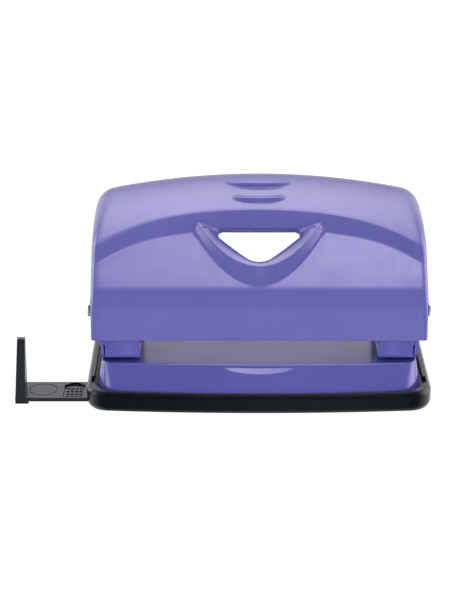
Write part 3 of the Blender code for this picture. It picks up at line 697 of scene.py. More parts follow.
def corner_radius(share):
    """Radius between the top and the side wall, small in front and again at the rear."""
    return SIDE_RADIUS + sum(change * smooth((share - start) / over)
                             for start, over, change in RADIUS_STEPS)


def skin_lean(x, row):
    """Sideways slope of the crown at x, as an angle."""
    full = math.atan(2 * CROWN_FALL * x)
    return {"crown": full, "edge": full * row[1]}.get(row[0], 0.0)


INNER_COLUMNS = 32             # columns of a half out to INNER_X
INNER_X = 20.0
OUTER_COLUMNS = 20
CORNER_COLUMNS = 10
SIDE_COLUMNS = 14


def handle_grid():
    """The outer skin as a grid of points, rows from the skirt's edge to the rear edge."""
    rows = skin_rows()
    reference = np.array([skin_point(40.0, row) for row in rows])
    steps = np.linalg.norm(np.diff(reference, axis=0), axis=1)
    along = np.concatenate(([0.0], np.cumsum(steps))) / steps.sum()
    inner = [INNER_X * i / INNER_COLUMNS for i in range(INNER_COLUMNS + 1)]
    grid = []
    for row, share in zip(rows, along):
        radius = corner_radius(share)
        lean = skin_lean(HANDLE_HALF_WIDTH - radius, row)
        shoulder = HANDLE_HALF_WIDTH - radius * (1 - math.sin(lean))
        outer = [mix(INNER_X, shoulder, i / OUTER_COLUMNS) for i in range(1, OUTER_COLUMNS + 1)]
        half = [(x, *skin_point(x, row)) for x in inner + outer]
        top = np.array(half[-1][1:])
        target = low_edge(share)
        down = (target - top) / np.linalg.norm(target - top)
        for i in range(1, CORNER_COLUMNS + 1):
            turn = mix(lean, math.pi / 2, i / CORNER_COLUMNS)
            x = shoulder + radius * (math.sin(turn) - math.sin(lean))
            half.append((x, *(top + radius * (math.cos(lean) - math.cos(turn)) * down)))
        begin = top + radius * math.cos(lean) * down
        half += [(HANDLE_HALF_WIDTH, *mix(begin, target, i / SIDE_COLUMNS))
                 for i in range(1, SIDE_COLUMNS + 1)]
        grid.append([(-x, y, z) for x, y, z in reversed(half[1:])] + half)
    return rows, np.array(grid)


# ---- handle: finger hole ----
HOLE_ARC = (12.1, 5.3)         # centre up the slope and radius of the hole's front arc
HOLE_CORNER = (10.4, 16.2, 1.5)   # centre across and up the slope, and radius, of its corners
HOLE_DIAGONAL = -42.0          # where the front arc ends and the corner's arc starts, in degrees
HOLE_BLOCK = 18                # half the block of columns that the hole takes out
FLANGE_DEPTH = 2.0
FLANGE_RINGS = 8
RELAX_STEPS = 1500             # rounds that spread the hole's outline over its neighbours
AXLE_HOLE = 1.8


def nodes_round(low, top, left, right):
    """(row, column) of each grid node round a block of the grid, in order."""
    nodes = [(low, c) for c in range(left, right + 1)]
    nodes += [(r, right) for r in range(low + 1, top + 1)]
    nodes += [(top, c) for c in range(right - 1, left - 1, -1)]
    return nodes + [(r, left) for r in range(top - 1, low, -1)]


def make_handle():
    rows, grid = handle_grid()
    count_rows, count_columns = grid.shape[:2]
    middle = count_columns // 2
    names = [row[0] for row in rows]
    first = names.index("above_lip")
    last = names.index("edge")
    top_row = names.index("step")
    low_row = first + 3
    columns = np.arange(middle - INNER_COLUMNS, middle + INNER_COLUMNS + 1)
    # Rows between the block's low and high row would be too many for its short side, so the
    # block takes all of them, and its sides get one outline point each.
    side = top_row - low_row
    start = hole_outline_nodes(1.0, 1.4, side)
    end = hole_outline_nodes(0.0, 0.0, side)
    left, right = middle - HOLE_BLOCK, middle + HOLE_BLOCK
    border = nodes_round(low_row, top_row, left, right)
    # Distances up the profile of every node, then a smooth warp that puts the border in place.
    flat = np.zeros((last - first + 1, len(columns), 2))
    for i in range(flat.shape[0]):
        for k, c in enumerate(columns):
            x = grid[first + i, c, 0]
            flat[i, k] = (x, row_distance(x, *rows[first + i]))
    shift = np.zeros_like(flat)
    fixed = np.zeros(flat.shape[:2], bool)
    fixed[0], fixed[-1], fixed[:, 0], fixed[:, -1] = True, True, True, True
    for (r, c), point in zip(border, start):
        i, k = r - first, c - columns[0]
        shift[i, k] = np.array(point) - flat[i, k]
        fixed[i, k] = True
    for _ in range(RELAX_STEPS):
        average = (np.roll(shift, 1, 0) + np.roll(shift, -1, 0)
                   + np.roll(shift, 1, 1) + np.roll(shift, -1, 1)) / 4
        shift = np.where(fixed[..., None], shift, average)
    flat += shift
    for i in range(1, flat.shape[0] - 1):
        for k in range(1, len(columns) - 1):
            x, s = flat[i, k]
            grid[first + i, columns[k]] = (x, *front_point(x, s))
    normals = grid_normals(grid)
    inner = grid - HANDLE_SHEET * normals
    bm = bmesh.new()
    outer_verts = [[bm.verts.new(p) for p in row] for row in grid]
    inner_verts = [[bm.verts.new(p) for p in row] for row in inner]
    for r in range(count_rows - 1):
        for c in range(count_columns - 1):
            if low_row <= r < top_row and left <= c < right:
                continue
            for verts, back in ((outer_verts, False), (inner_verts, True)):
                quad = [verts[r][c], verts[r][c + 1], verts[r + 1][c + 1], verts[r + 1][c]]
                bm.faces.new(reversed(quad) if back else quad)
    rim = nodes_round(0, count_rows - 1, 0, count_columns - 1)
    close_rim(bm, rim, grid, inner, outer_verts, inner_verts)
    close_flange(bm, border, start, end, grid, outer_verts, inner_verts)
    loose = [v for v in bm.verts if not v.link_faces]
    bmesh.ops.delete(bm, geom=loose, context="VERTS")
    handle = to_object("handle_shell", bm)
    for way in (-1, 1):
        cut(handle, cylinder("axle_hole", (way * HANDLE_HALF_WIDTH, AXLE.y, AXLE.z), ALONG_X,
                             AXLE_HOLE, 4.0))
    shade(handle, 50.0)
    place(handle, HANDLE_PAINT, "handle_lever", "handle_paint", "handle")


def hole_outline_nodes(arc_grow, corner_grow, side):
    """The hole's outline in (x, s), with one point for each node of its block's border."""
    centre, radius = HOLE_ARC[0], HOLE_ARC[1] + arc_grow
    cx, cs, corner = HOLE_CORNER
    corner += corner_grow
    lower = arc(0.0, centre, radius, -90, HOLE_DIAGONAL, 16)
    right = arc(cx, cs, corner, HOLE_DIAGONAL, 60, side)
    lower.append(right[0])
    turn = [(0.0, cs + corner)] + arc(cx, cs, corner, 90, 60, 8)

    def across(points, way):
        xs, ss = np.array(points).T
        reach = xs[-1]
        steps = range(-HOLE_BLOCK, HOLE_BLOCK + 1)
        return [(way * reach * i / HOLE_BLOCK,
                 float(np.interp(reach * abs(i) / HOLE_BLOCK, xs, ss))) for i in steps]

    left = [(-x, s) for x, s in reversed(right)]
    return across(lower, 1) + right[1:] + across(turn, -1)[1:] + left[1:-1]


def grid_normals(grid):
    """Outward normals of the grid from neighbours two cells away."""
    ahead = [np.minimum(np.arange(count) + 2, count - 1) for count in grid.shape[:2]]
    back = [np.maximum(np.arange(count) - 2, 0) for count in grid.shape[:2]]
    normals = np.cross(grid[:, ahead[1]] - grid[:, back[1]], grid[ahead[0]] - grid[back[0]])
    # At the two corners of the side walls the neighbours lie on one line.
    normals[0, 0], normals[0, -1] = normals[1, 1], normals[1, -2]
    return normals / np.linalg.norm(normals, axis=2, keepdims=True)


# Rounded edges of the sheet: share of its thickness, bulge.
RIM_ROUND = ((0.18, 0.10), (0.5, 0.16), (0.82, 0.10))
FLANGE_ROUND = ((0.15, 0.08), (0.5, 0.12), (0.85, 0.08))


def close_rim(bm, rim, grid, inner, outer_verts, inner_verts):
    """Join the two skins along their outer rim with a slightly rounded edge."""
    count_rows, count_columns = grid.shape[:2]
    rings = [[outer_verts[r][c] for r, c in rim]]
    outward = []
    for r, c in rim:
        r_in = min(max(r, 1), count_rows - 2)
        c_in = min(max(c, 1), count_columns - 2)
        way = grid[r, c] - grid[r_in, c_in]
        outward.append(way / np.linalg.norm(way))
    for share, bulge in RIM_ROUND:
        ring = []
        for (r, c), way in zip(rim, outward):
            point = mix(grid[r, c], inner[r, c], share) + bulge * way
            ring.append(bm.verts.new(point))
        rings.append(ring)
    rings.append([inner_verts[r][c] for r, c in rim])
    bridge(bm, rings)


def close_flange(bm, border, start, end, grid, outer_verts, inner_verts):
    """Turn the sheet inwards round the finger hole and close its edge."""
    out = np.array([0.0, *SLOPE_OUT])
    begin = np.array([grid[r, c] for r, c in border])
    finish, toward = [], []
    for p0, (x0, s0), (x1, s1) in zip(begin, start, end):
        y, z = slope_point(s1) + (lip_height(x1, s1) - FLANGE_DEPTH) * SLOPE_OUT
        finish.append((x1, y, z))
        x = mix(x0, x1, 0.1)
        ahead = np.array([x, *front_point(x, mix(s0, s1, 0.1))]) - p0
        toward.append(ahead / np.linalg.norm(ahead))
    finish, toward = np.array(finish), np.array(toward)
    reach = np.linalg.norm(finish - begin, axis=1, keepdims=True)
    second = begin + 0.36 * reach * toward
    third = finish + 0.42 * reach * out
    rings, backs = [], []
    for k in range(1, FLANGE_RINGS + 1):
        t = k / FLANGE_RINGS
        curve = ((1 - t) ** 3 * begin + 3 * t * (1 - t) ** 2 * second
                 + 3 * t * t * (1 - t) * third + t ** 3 * finish)
        slope = (3 * (1 - t) ** 2 * (second - begin) + 6 * t * (1 - t) * (third - second)
                 + 3 * t * t * (finish - third))
        loop = np.roll(curve, -1, 0) - np.roll(curve, 1, 0)
        normal = np.cross(loop, slope)
        normal /= np.linalg.norm(normal, axis=1, keepdims=True)
        rings.append(curve)
        backs.append(curve - HANDLE_SHEET * normal)
    outer = [[outer_verts[r][c] for r, c in border]]
    outer += [[bm.verts.new(p) for p in ring] for ring in rings]
    edge = [[bm.verts.new(p) for p in mix(rings[-1], backs[-1], share) - bulge * out]
            for share, bulge in FLANGE_ROUND]
    inner = [[bm.verts.new(p) for p in ring] for ring in reversed(backs)]
    inner.append([inner_verts[r][c] for r, c in border])
    bridge(bm, outer + edge + inner)


# ---- pressure bar ----
def make_pressure_bar():
    """The folded steel bar inside the handle: flat web, turned-down flanges, end tabs."""
    sheet, bend, crease, drop = 1.0, 0.9, 0.3, 4.5
    front, rear = BAR_LOW.y, BAR_HIGH.y
    web = BAR_LOW.z + drop
    outer = [(front, BAR_LOW.z)]
    outer += arc(front + bend, web + sheet - bend, bend, 180, 90, 6)
    outer += arc(rear - bend, web + sheet - bend, bend, 90, 0, 6)
    outer += [(rear, BAR_LOW.z), (rear - sheet, BAR_LOW.z)]
    outer += arc(rear - sheet - crease, web - crease, crease, 0, 90, 4)
    outer += arc(front + sheet + crease, web - crease, crease, 90, 180, 4)
    outer += [(front + sheet, BAR_LOW.z)]
    bar = prism("pressure_bar_steel", outer, -33.0, 33.0)
    side = [(BAR_LOW.x, BAR_HIGH.z)]
    side += arc(BAR_LOW.x + bend, web + bend, bend, 180, 270, 6)
    side += [(-32.0, web), (-32.0, web + sheet)]
    side += arc(BAR_LOW.x + sheet + crease, web + sheet + crease, crease, 270, 180, 4)
    side += [(BAR_LOW.x + sheet, BAR_HIGH.z)]
    for way in (-1, 1):
        add(bar, solid("bar_end", [[(-way * x, y, z) for x, z in side] for y in (front, rear)]))
    round_edges(bar, 0.12, sharp=50.0)
    place(bar, STEEL, "handle_lever", "pressed_steel", "pressure_bar")


# ---- base plate ----
PLATE_SHEET = 1.0
DIE_GAP = 0.25                 # clearance of the pins in their dies
# Layers of the base's outside: height, half width, front, rear, corner radii, front bow.
PLATE_LAYERS = ((3.7, 48.1, -43.85, 41.4, 9.4, 3.0, 1.7), (6.0, 47.5, -43.6, 41.1, 9.2, 3.0, 1.7),
                (12.75, 46.5, -38.68, 37.9, 3.9, 3.0, 0.95),
                (PLATE_HIGH.z, 46.2, -38.4, 37.6, 3.6, 2.7, 0.9),
                (PLATE_HIGH.z, 44.8, -36.8, 36.0, 2.6, 1.6, 0.9))
INNER_SHOULDER = 11.6          # height of the sheet's shoulder on the inside
DENT_HALF_WIDTH = 10.4         # pressed centre mark under the plate's front edge
DENT_TOP = 12.35
DENT_DROP = 1.7
DENT_DEPTH = 0.5


def plan_outline(half_width, front, rear, front_radius, rear_radius, bow):
    """Plan of a base layer: straight sides, round corners, front bowed out by bow."""
    edge = half_width - front_radius
    tilt = math.degrees(math.atan(2 * bow / edge))
    right = arc(edge, front + front_radius + bow, front_radius, tilt - 90, 0, 16)
    right[0] = (edge, front + bow)
    right += [(half_width, mix(right[-1][1], rear - rear_radius, i / 16)) for i in range(1, 16)]
    right += arc(half_width - rear_radius, rear - rear_radius, rear_radius, 0, 90, 10)
    left = [(-x, y) for x, y in reversed(right)]
    spread = [edge * (i / 72 - 1) for i in range(1, 144)]
    return right + left + [(x, front + bow * (x / edge) ** 2) for x in spread]


def layer_path(points, radius, longest):
    """Rounds the corners of a path through layers and splits its long steps."""
    points = [np.array(p, float) for p in points]
    path = [points[0]]
    for before, corner, after in zip(points, points[1:], points[2:]):
        reach = [min(radius, np.linalg.norm(end - corner) / 2.1) for end in (before, after)]
        a = corner + (before - corner) / np.linalg.norm(before - corner) * reach[0]
        b = corner + (after - corner) / np.linalg.norm(after - corner) * reach[1]
        path += [bezier(a, corner, b, i / 6) for i in range(7)]
    path.append(points[-1])
    split = [path[0]]
    for point in path[1:]:
        length = np.linalg.norm(point - split[-1])
        count = max(1, math.ceil(length / longest))
        start = split[-1]
        split += [mix(start, point, i / count) for i in range(1, count + 1)]
    return split


def layer_rings(bm, layers, shift=None):
    rings = []
    for height, *plan in layers:
        ring = []
        for x, y in plan_outline(*plan):
            point = np.array([x, y, height])
            if shift is not None:
                point = point + shift(point)
            ring.append(bm.verts.new(point))
        rings.append(ring)
    bridge(bm, rings, flip=True)
    return rings


def dent(point):
    """How far the pressed mark moves a point of the plate's front slope."""
    x, y, z = point
    across = abs(x) / DENT_HALF_WIDTH
    if across >= 1.0 or y > 0.0 or z > DENT_TOP:
        return np.zeros(3)
    drop = DENT_DROP * (1 - across ** 2) ** 0.6
    t = (DENT_TOP - z) / max(drop, 0.01)
    edge = smooth((DENT_TOP - z) / 0.22)
    depth = DENT_DEPTH * (drop / DENT_DROP) * edge * max(0.0, 1 - t) ** 0.9
    return depth * np.array([0.0, 0.81, -0.59])


def rivet_holes(side, z):
    return [cylinder("rivet_hole", (side * PIN_X, row, z), ALONG_Z, RIVET_RADIUS + GAP, 4.0, 32)
            for row in RIVET_ROWS]


def make_base_plate():
    bm = bmesh.new()
    outer = layer_rings(bm, layer_path(PLATE_LAYERS, 0.3, 0.35), dent)
    bm.faces.new(outer[-1])
    ceiling = PLATE_HIGH.z - PLATE_SHEET
    heights = [layer[0] for layer in PLATE_LAYERS[:2]] + [INNER_SHOULDER, ceiling, ceiling]
    inner = layer_rings(bm, [(z, w - PLATE_SHEET, f + PLATE_SHEET, r - PLATE_SHEET,
                              a - PLATE_SHEET, b, bow)
                             for z, (_, w, f, r, a, b, bow) in zip(heights, PLATE_LAYERS)])
    bm.faces.new(inner[-1])
    bridge(bm, [outer[0], inner[0]])
    plate = to_object("base_plate_pressing", bm)
    for side in (-1, 1):
        add(plate, cylinder("hinge_ear", (side * 47.1, HINGE.y, HINGE.z), ALONG_X, 2.6, 1.3))
        cut(plate, cylinder("peg_hole", (side * 46.9, HINGE.y, HINGE.z), ALONG_X, 1.8, 4.0),
            cylinder("die", (side * PIN_X, PIN_Y, PLATE_HIGH.z), ALONG_Z,
                     PIN_RADIUS + DIE_GAP, 4.0, 64),
            *rivet_holes(side, PLATE_HIGH.z))
    shade(plate, 40.0)
    place(plate, BASE_PAINT, "base", "base_paint", "base_plate")


# ---- punch brackets ----
BRACKET_INNER = BRACKET_LOW.x
EAR_SHEET = 0.9
EAR_OUTER = BRACKET_HIGH.x
EAR_INNER = EAR_OUTER - EAR_SHEET
BRACKET_FLANGE_TOP = 28.7
BAND_WIDTH = 9.4
BAND_SHEET = 1.0
BAND_LOW = PLATE_HIGH.z + 1.1
FOOT_TOP = PLATE_HIGH.z + GAP + 1.3
STOP_Y = PIN_Y + 12.0
RIVET_ROWS = (STOP_Y + 4.0, STOP_Y + 9.5)
RIVET_RADIUS = 1.5
EAR_LEAN = 0.8                 # how far the ear's foot leans inwards


def rounded_rectangle(u0, u1, v0, v1, radius, steps=6):
    points = []
    for cu, cv, start in ((u1 - radius, v0 + radius, -90), (u1 - radius, v1 - radius, 0),
                          (u0 + radius, v1 - radius, 90), (u0 + radius, v0 + radius, 180)):
        points += arc(cu, cv, radius, start, start + 90, steps)
    return points


def make_bracket(side, name):
    """One punch head frame: bent band round the pin, leaning ear and riveted foot."""
    front = BRACKET_LOW.y
    band = sorted((side * BRACKET_INNER, side * (BRACKET_INNER + BAND_WIDTH)))
    outer = rounded_rectangle(front, STOP_Y, BAND_LOW, BRACKET_FLANGE_TOP, 1.6)
    inner = rounded_rectangle(front + BAND_SHEET, STOP_Y - BAND_SHEET, BAND_LOW + BAND_SHEET,
                              BRACKET_FLANGE_TOP - BAND_SHEET, 0.7)
    bracket = prism(name + "_sheet", outer, band[0], band[1])
    cut(bracket, prism("window", inner, band[0] - 2, band[1] + 2))
    ear = [(front, 16.0), (front + 0.7, 14.6), (front + 2.5, PLATE_HIGH.z + GAP),
           (STOP_Y, PLATE_HIGH.z + GAP), (STOP_Y, 22.0), (AXLE.y + 7.0, 27.0)]
    ear += arc(AXLE.y, AXLE.z, 3.3, 20, 200, 20)
    ear += [(front - 0.7, 24.0), (front - 0.3, 20.0)]
    span = sorted((side * EAR_INNER, side * EAR_OUTER))
    wall = prism("ear", ear, span[0], span[1])
    bm = bmesh.new()
    bm.from_mesh(wall.data)
    for level in (15.3, 17.2, 19.3, 21.2, 23.3):
        bmesh.ops.bisect_plane(bm, geom=bm.verts[:] + bm.edges[:] + bm.faces[:],
                               plane_co=(0, 0, level * MM), plane_no=ALONG_Z)
    bmesh.ops.triangulate(bm, faces=bm.faces[:])
    for vert in bm.verts:
        vert.co.x -= side * EAR_LEAN * MM * (1 - smooth((vert.co.z / MM - 13.0) / 12.0))
    bm.to_mesh(wall.data)
    bm.free()
    add(bracket, wall)

    def block(a, b, y0, y1, z0, z1):
        x0, x1 = sorted((side * a, side * b))
        return box("block", (x0, y0, z0), (x1, y1, z1))

    reach = BRACKET_INNER + BAND_WIDTH - 0.5
    joined = [block(reach, EAR_INNER + 0.4 - EAR_LEAN, front + 4.0, STOP_Y - 0.5,
                    BAND_LOW + 0.05, BAND_LOW + 0.95),
              block(reach, BRACKET_INNER + 10.2, front + 0.05, front + 0.95,
                    BAND_LOW + 0.7, 18.9),
              block(reach, EAR_INNER + 0.4 - 0.2 * EAR_LEAN, front + 0.05, front + 0.95,
                    18.6, 21.6),
              block(BRACKET_INNER + 0.05, EAR_OUTER - 0.05, STOP_Y - 0.6, STOP_Y + 13.5,
                    PLATE_HIGH.z + GAP, FOOT_TOP)]
    add(bracket, *joined)
    pin_guides = [cylinder("pin_guide", (side * PIN_X, PIN_Y, z), ALONG_Z, PIN_RADIUS + GAP, 2.5)
                  for z in (BAND_LOW + 0.5, BRACKET_FLANGE_TOP - 0.5)]
    cut(bracket, cylinder("axle", (side * EAR_INNER, AXLE.y, AXLE.z), ALONG_X, AXLE_HOLE, 4.0),
        *pin_guides, *rivet_holes(side, FOOT_TOP))
    round_edges(bracket, 0.16, 50.0, 55.0)
    place(bracket, BRACKET_PAINT, "base", "bracket_paint", name)


def make_bracket_edge(side, label):
    """The bare sheared corner of the bracket's front flange, tapering downwards."""
    front = BRACKET_LOW.y
    corners = [(BRACKET_INNER + 0.2, front + 0.25, 16.6), (BRACKET_INNER + 0.2, front + 3.2, 21.8),
               (BRACKET_INNER - 0.95, front + 3.2, 21.8)]
    edge = solid("bracket_corner_" + label,
                 [[(side * x, y + depth, z - depth) for x, y, z in corners]
                  for depth in (0.0, 0.35)])
    round_edges(edge, 0.06)
    place(edge, CHROME, "base", "chrome_rivet")


# ---- rivets, washers, pins, clips and springs ----
def make_bracket_rivet(name, x, y):
    """Round head on the foot, spread tail under the plate."""
    top = FOOT_TOP + GAP
    tail = PLATE_HIGH.z - PLATE_SHEET - GAP
    head = [(2.6 * math.cos(a), top + 0.9 * math.sin(a))
            for a in (math.radians(90 - 7.5 * i) for i in range(13))]
    head[0] = (0.0, top + 0.9)
    rest = [(2.6, top), (RIVET_RADIUS, top), (RIVET_RADIUS, tail), (2.2, tail),
            (2.2, tail - 0.4), (1.6, tail - 0.8), (0.0, tail - 0.8)]
    rivet = turned(name + "_steel", head[:-1] + rounded(rest, 0.15))
    move(rivet, x, y)
    place(rivet, STEEL, "base", "chrome_rivet", name)


def make_axle_rivet(name, side):
    """Domed chrome head outside the handle, shank through to the bracket's ear."""
    face = HANDLE_HIGH.x + GAP
    radius = 2.65
    head = [(radius * math.cos(a), face + 0.3 + 1.0 * math.sin(a))
            for a in (math.radians(90 - 6 * i) for i in range(16))]
    head[0] = (0.0, face + 1.3)
    inner = EAR_INNER - GAP
    rest = [(radius, face), (1.5, face), (1.5, inner), (2.0, inner), (2.0, inner - 0.7),
            (1.5, inner - 1.0), (0.0, inner - 1.0)]
    rivet = turned(name + "_chrome", head + rounded([(radius, face + 0.15)] + rest, 0.12))
    move(rivet, 0.0, AXLE.y, AXLE.z)
    rivet.rotation_euler = (0.0, side * math.pi / 2, 0.0)
    place(rivet, CHROME, "base", "chrome_rivet", name)


def ring_of(bm, section, segments, opening=0.0):
    """Turns a closed (radius, height) section round Z, with an opening in degrees."""
    start, end = opening / 2, 360.0 - opening / 2
    steps = segments if opening else segments - 1
    total = end - start if opening else 360.0 * (segments - 1) / segments
    rings = []
    for i in range(steps + 1):
        a = math.radians(start + total * i / steps)
        rings.append([bm.verts.new((r * math.cos(a), r * math.sin(a), z)) for r, z in section])
    if opening:
        bm.faces.new(reversed(rings[0]))
        bm.faces.new(rings[-1])
    else:
        rings.append(rings[0])
    bridge(bm, rings, flip=True)


def flat_ring(name, hole, rim, box_low, box_high, middle, segments, opening=0.0, lip=0.5):
    """A flat washer or clip, as thick as its CAD box along the box's short side."""
    section = [(hole, -lip), (hole, lip), (hole + 0.1, 0.5), (rim - 0.12, 0.5), (rim, 0.3),
               (rim, -0.3), (rim - 0.12, -0.5), (hole + 0.1, -0.5)]
    thick = min(b - a for a, b in zip(box_low, box_high))
    bm = bmesh.new()
    ring_of(bm, [(r, middle + share * thick) for r, share in section], segments, opening)
    return to_object(name, bm, 40.0)


def make_washer(name):
    low, high = node_box(name)
    washer = flat_ring(name + "_steel", AXLE_HOLE, (high.y - low.y) / 2, low, high, 0.0, 64)
    move(washer, (low.x + high.x) / 2, AXLE.y, AXLE.z)
    washer.rotation_euler = (0.0, math.pi / 2, 0.0)
    place(washer, STEEL, "base", "pressed_steel", name)


def make_pin(name, x, body):
    """A punch pin: domed top, clip groove and dished cutting tip."""
    groove = PIN_RADIUS - 0.6
    low, high = CLIP_LOW.z - GAP, CLIP_HIGH.z + GAP
    tip = PIN_LOW.z
    dome = [(PIN_RADIUS * math.sin(a), PIN_HIGH.z - 0.9 * (1 - math.cos(a)))
            for a in (math.radians(9 * i) for i in range(11))]
    shank = [(PIN_RADIUS, PIN_HIGH.z - 1.0), (PIN_RADIUS, high), (groove, high), (groove, low),
             (PIN_RADIUS, low), (PIN_RADIUS, tip), (PIN_RADIUS - 0.25, tip),
             (1.2, tip + 0.7), (0.0, tip + 0.7)]
    pin = turned(name + "_steel", dome + rounded(shank, 0.08, 2))
    move(pin, x, PIN_Y)
    place(pin, STEEL, body, "pressed_steel", name)


def make_clip(name, x, body):
    middle = (CLIP_HIGH.z + CLIP_LOW.z) / 2
    clip = flat_ring(name + "_steel", PIN_RADIUS - 0.3, (CLIP_HIGH.y - CLIP_LOW.y) / 2,
                     CLIP_LOW, CLIP_HIGH, middle, 60, opening=60.0, lip=0.4)
    move(clip, x, PIN_Y)
    place(clip, STEEL, body, "pressed_steel", name)


SPRING_WIRE = 0.38
SPRING_TURNS = 5
SPRING_SIDES = 12              # corners of the wire's round section


def make_spring(name, x):
    """Round wire wound in a helix with flat end turns."""
    radius = (SPRING_HIGH.x - SPRING_LOW.x) / 2 - SPRING_WIRE
    low, high = SPRING_LOW.z + SPRING_WIRE, SPRING_HIGH.z - SPRING_WIRE
    closed = 0.75
    rise = 2 * SPRING_WIRE + 0.04
    steps = 40 * SPRING_TURNS
    bm = bmesh.new()
    rings = []
    for i in range(steps + 1):
        turn = SPRING_TURNS * i / steps
        climb = min(max((turn - closed) / (SPRING_TURNS - 2 * closed), 0.0), 1.0)
        wound = min(turn, closed) + max(0.0, turn - SPRING_TURNS + closed)
        z = low + rise * wound + climb * (high - low - 2 * closed * rise)
        angle = 2 * math.pi * turn
        ring = []
        for k in range(SPRING_SIDES):
            a = 2 * math.pi * k / SPRING_SIDES
            r = radius + SPRING_WIRE * math.cos(a)
            ring.append(bm.verts.new((r * math.cos(angle), r * math.sin(angle),
                                      z + SPRING_WIRE * math.sin(a))))
        rings.append(ring)
    bm.faces.new(reversed(rings[0]))
    bm.faces.new(rings[-1])
    bridge(bm, rings, flip=True)
    spring = to_object(name + "_coil", bm, 60.0)
    move(spring, x, PIN_Y)
    place(spring, WIRE, "base", "spring_wire", name)
    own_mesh(spring)


# ---- chip tray ----
# Layers of the tray from its underside over the rim to the floor inside.
TRAY_LAYERS = ((0.0, 50.3, TRAY_LOW.y + 0.7, TRAY_HIGH.y - 0.7, 6.6, 5.4, 1.7),
               (1.2, 50.95, TRAY_LOW.y, TRAY_HIGH.y, 7.3, 6.0, 1.7),
               (4.9, 50.95, TRAY_LOW.y + 0.1, TRAY_HIGH.y - 0.1, 7.3, 6.0, 1.7),
               (TRAY_HIGH.z, 50.1, TRAY_LOW.y + 1.0, TRAY_HIGH.y - 0.8, 6.5, 5.2, 1.7),
               (TRAY_HIGH.z, 48.8, -44.1, 43.55, 9.0, 4.6, 1.7),
               (4.8, 48.8, -44.1, 43.55, 9.0, 4.6, 1.7),
               (4.8, 49.6, -44.25, 43.4, 9.0, 4.6, 1.7),
               (1.4, 49.6, -44.2, 43.4, 9.0, 4.6, 1.7))
CHANNEL_TOP = 2.25


def make_chip_tray():
    bm = bmesh.new()
    rings = layer_rings(bm, layer_path(TRAY_LAYERS, 0.55, 1.2))
    bm.faces.new(reversed(rings[0]))
    bm.faces.new(rings[-1])
    tray = to_object("chip_tray_shell", bm)
    front, rear = GUIDE_LOW.y - GAP, GUIDE_HIGH.y + GAP
    add(tray, box("cover", (-49.8, front - 1.2, 1.0), (49.8, rear + 1.2, 3.4)))
    cut(tray, box("channel", (-52.0, front, -1.0), (47.6, rear, CHANNEL_TOP)))
    for x in (-48.6, -17.0, 14.0):
        add(tray, box("lug", (x, front - 0.8, 0.0), (x + 4.5, rear + 0.8, 0.6)))
    for side in (-1, 1):
        for y in (5.0, 24.0):
            low, high = sorted((side * 43.5, side * 49.8))
            add(tray, box("rib", (low, y, 1.0), (high, y + 1.4, 3.4)))
        add(tray, cylinder("peg", (side * 48.1, HINGE.y, HINGE.z), ALONG_X, 1.5, 3.8))
        low, high = sorted((side * 48.4, side * 49.7))
        cut(tray, box("notch", (low, -35.5, 4.0), (high, -31.0, 7.0)))
    round_edges(tray, 0.2, 45.0, 50.0)
    place(tray, TRAY_PLASTIC, "tray", "tray_plastic", "chip_tray")


# ---- paper guide ----
STOP_SHEET = 3.0               # thickness of the upright stop
GUIDE_STOP = GUIDE_LOW.x + STOP_SHEET
GUIDE_TOP = 1.9                # top of the sliding bar
STOP_LEANS = (1.3, 0.55)       # how far the stop's outer and inner face lean in at the top
RING_MARK = (3.95, 4.3)        # inner and outer radius of the ring groove
STUD = (0.42, 0.48)            # half sizes of a stud
WINDOW = (-58.1, -51.9)        # the window's ends along the bar
WINDOW_STUDS = (4, 4)          # plain raised studs, across and along


def make_paper_guide():
    """Flat sliding bar with a tapered upright stop, a ring groove and a window of plain raised
    studs.
    """
    low, high = GUIDE_LOW.y, GUIDE_HIGH.y
    guide = box("guide_bar", (GUIDE_STOP - 0.5, low, 0.75), (GUIDE_HIGH.x, high, GUIDE_TOP))
    add(guide, box("foot", (GUIDE_LOW.x, low, 0.0), (GUIDE_STOP + 0.9, high, GUIDE_TOP)))
    upright = [(low, 1.0), (low + 7.3, 1.0), (low + 1.9, 19.9)]
    upright += arc(low + 0.95, 19.95, 0.95, 0, 180, 12)
    stop = prism("stop", upright, GUIDE_STOP - STOP_SHEET, GUIDE_STOP)
    for vert in stop.data.vertices:
        lean = STOP_LEANS[0 if vert.co.x / MM < GUIDE_STOP - 1.0 else 1]
        vert.co.x += (vert.co.z / MM - 1.0) / 19.9 * lean * MM
    add(guide, stop)
    middle = (low + high) / 2
    bm = bmesh.new()
    near, far = RING_MARK
    ring_of(bm, [(near, 1.65), (far, 1.65), (far, 2.3), (near, 2.3)], 72)
    groove = to_object("groove", bm)
    groove.data.transform(Matrix.Translation(((GUIDE_STOP + 4.9) * MM, (middle + 0.3) * MM, 0)))
    cut(guide, groove)
    (x0, x1), y0, y1 = WINDOW, low + 0.6, high - 0.4
    outline = [(x1 - 0.4, y0), (x1, y0 + 0.4), (x1, y1 - 2.0)]
    outline += [(mix(x1, x0, i / 12), y1 - 2.0 + 2.0 * math.sin(math.pi * i / 12))
                for i in range(1, 12)]
    outline += [(x0, y1 - 2.0), (x0, y0 + 0.4), (x0 + 0.4, y0)]
    cut(guide, prism("window", outline, 1.25, 3.0, "Z"))
    across, along = WINDOW_STUDS
    for i in range(across):
        x = mix(x0 + 1.2, x1 - 1.2, i / (across - 1))
        for k in range(along):
            y = mix(y0 + 1.4, y1 - 3.6, k / (along - 1))
            add(guide, box("stud", (x - STUD[0], y - STUD[1], 1.1),
                           (x + STUD[0], y + STUD[1], 1.75)))
    round_edges(guide, 0.11, 40.0, 50.0)
    place(guide, GUIDE_PLASTIC, "guide", "guide_plastic", "paper_guide")


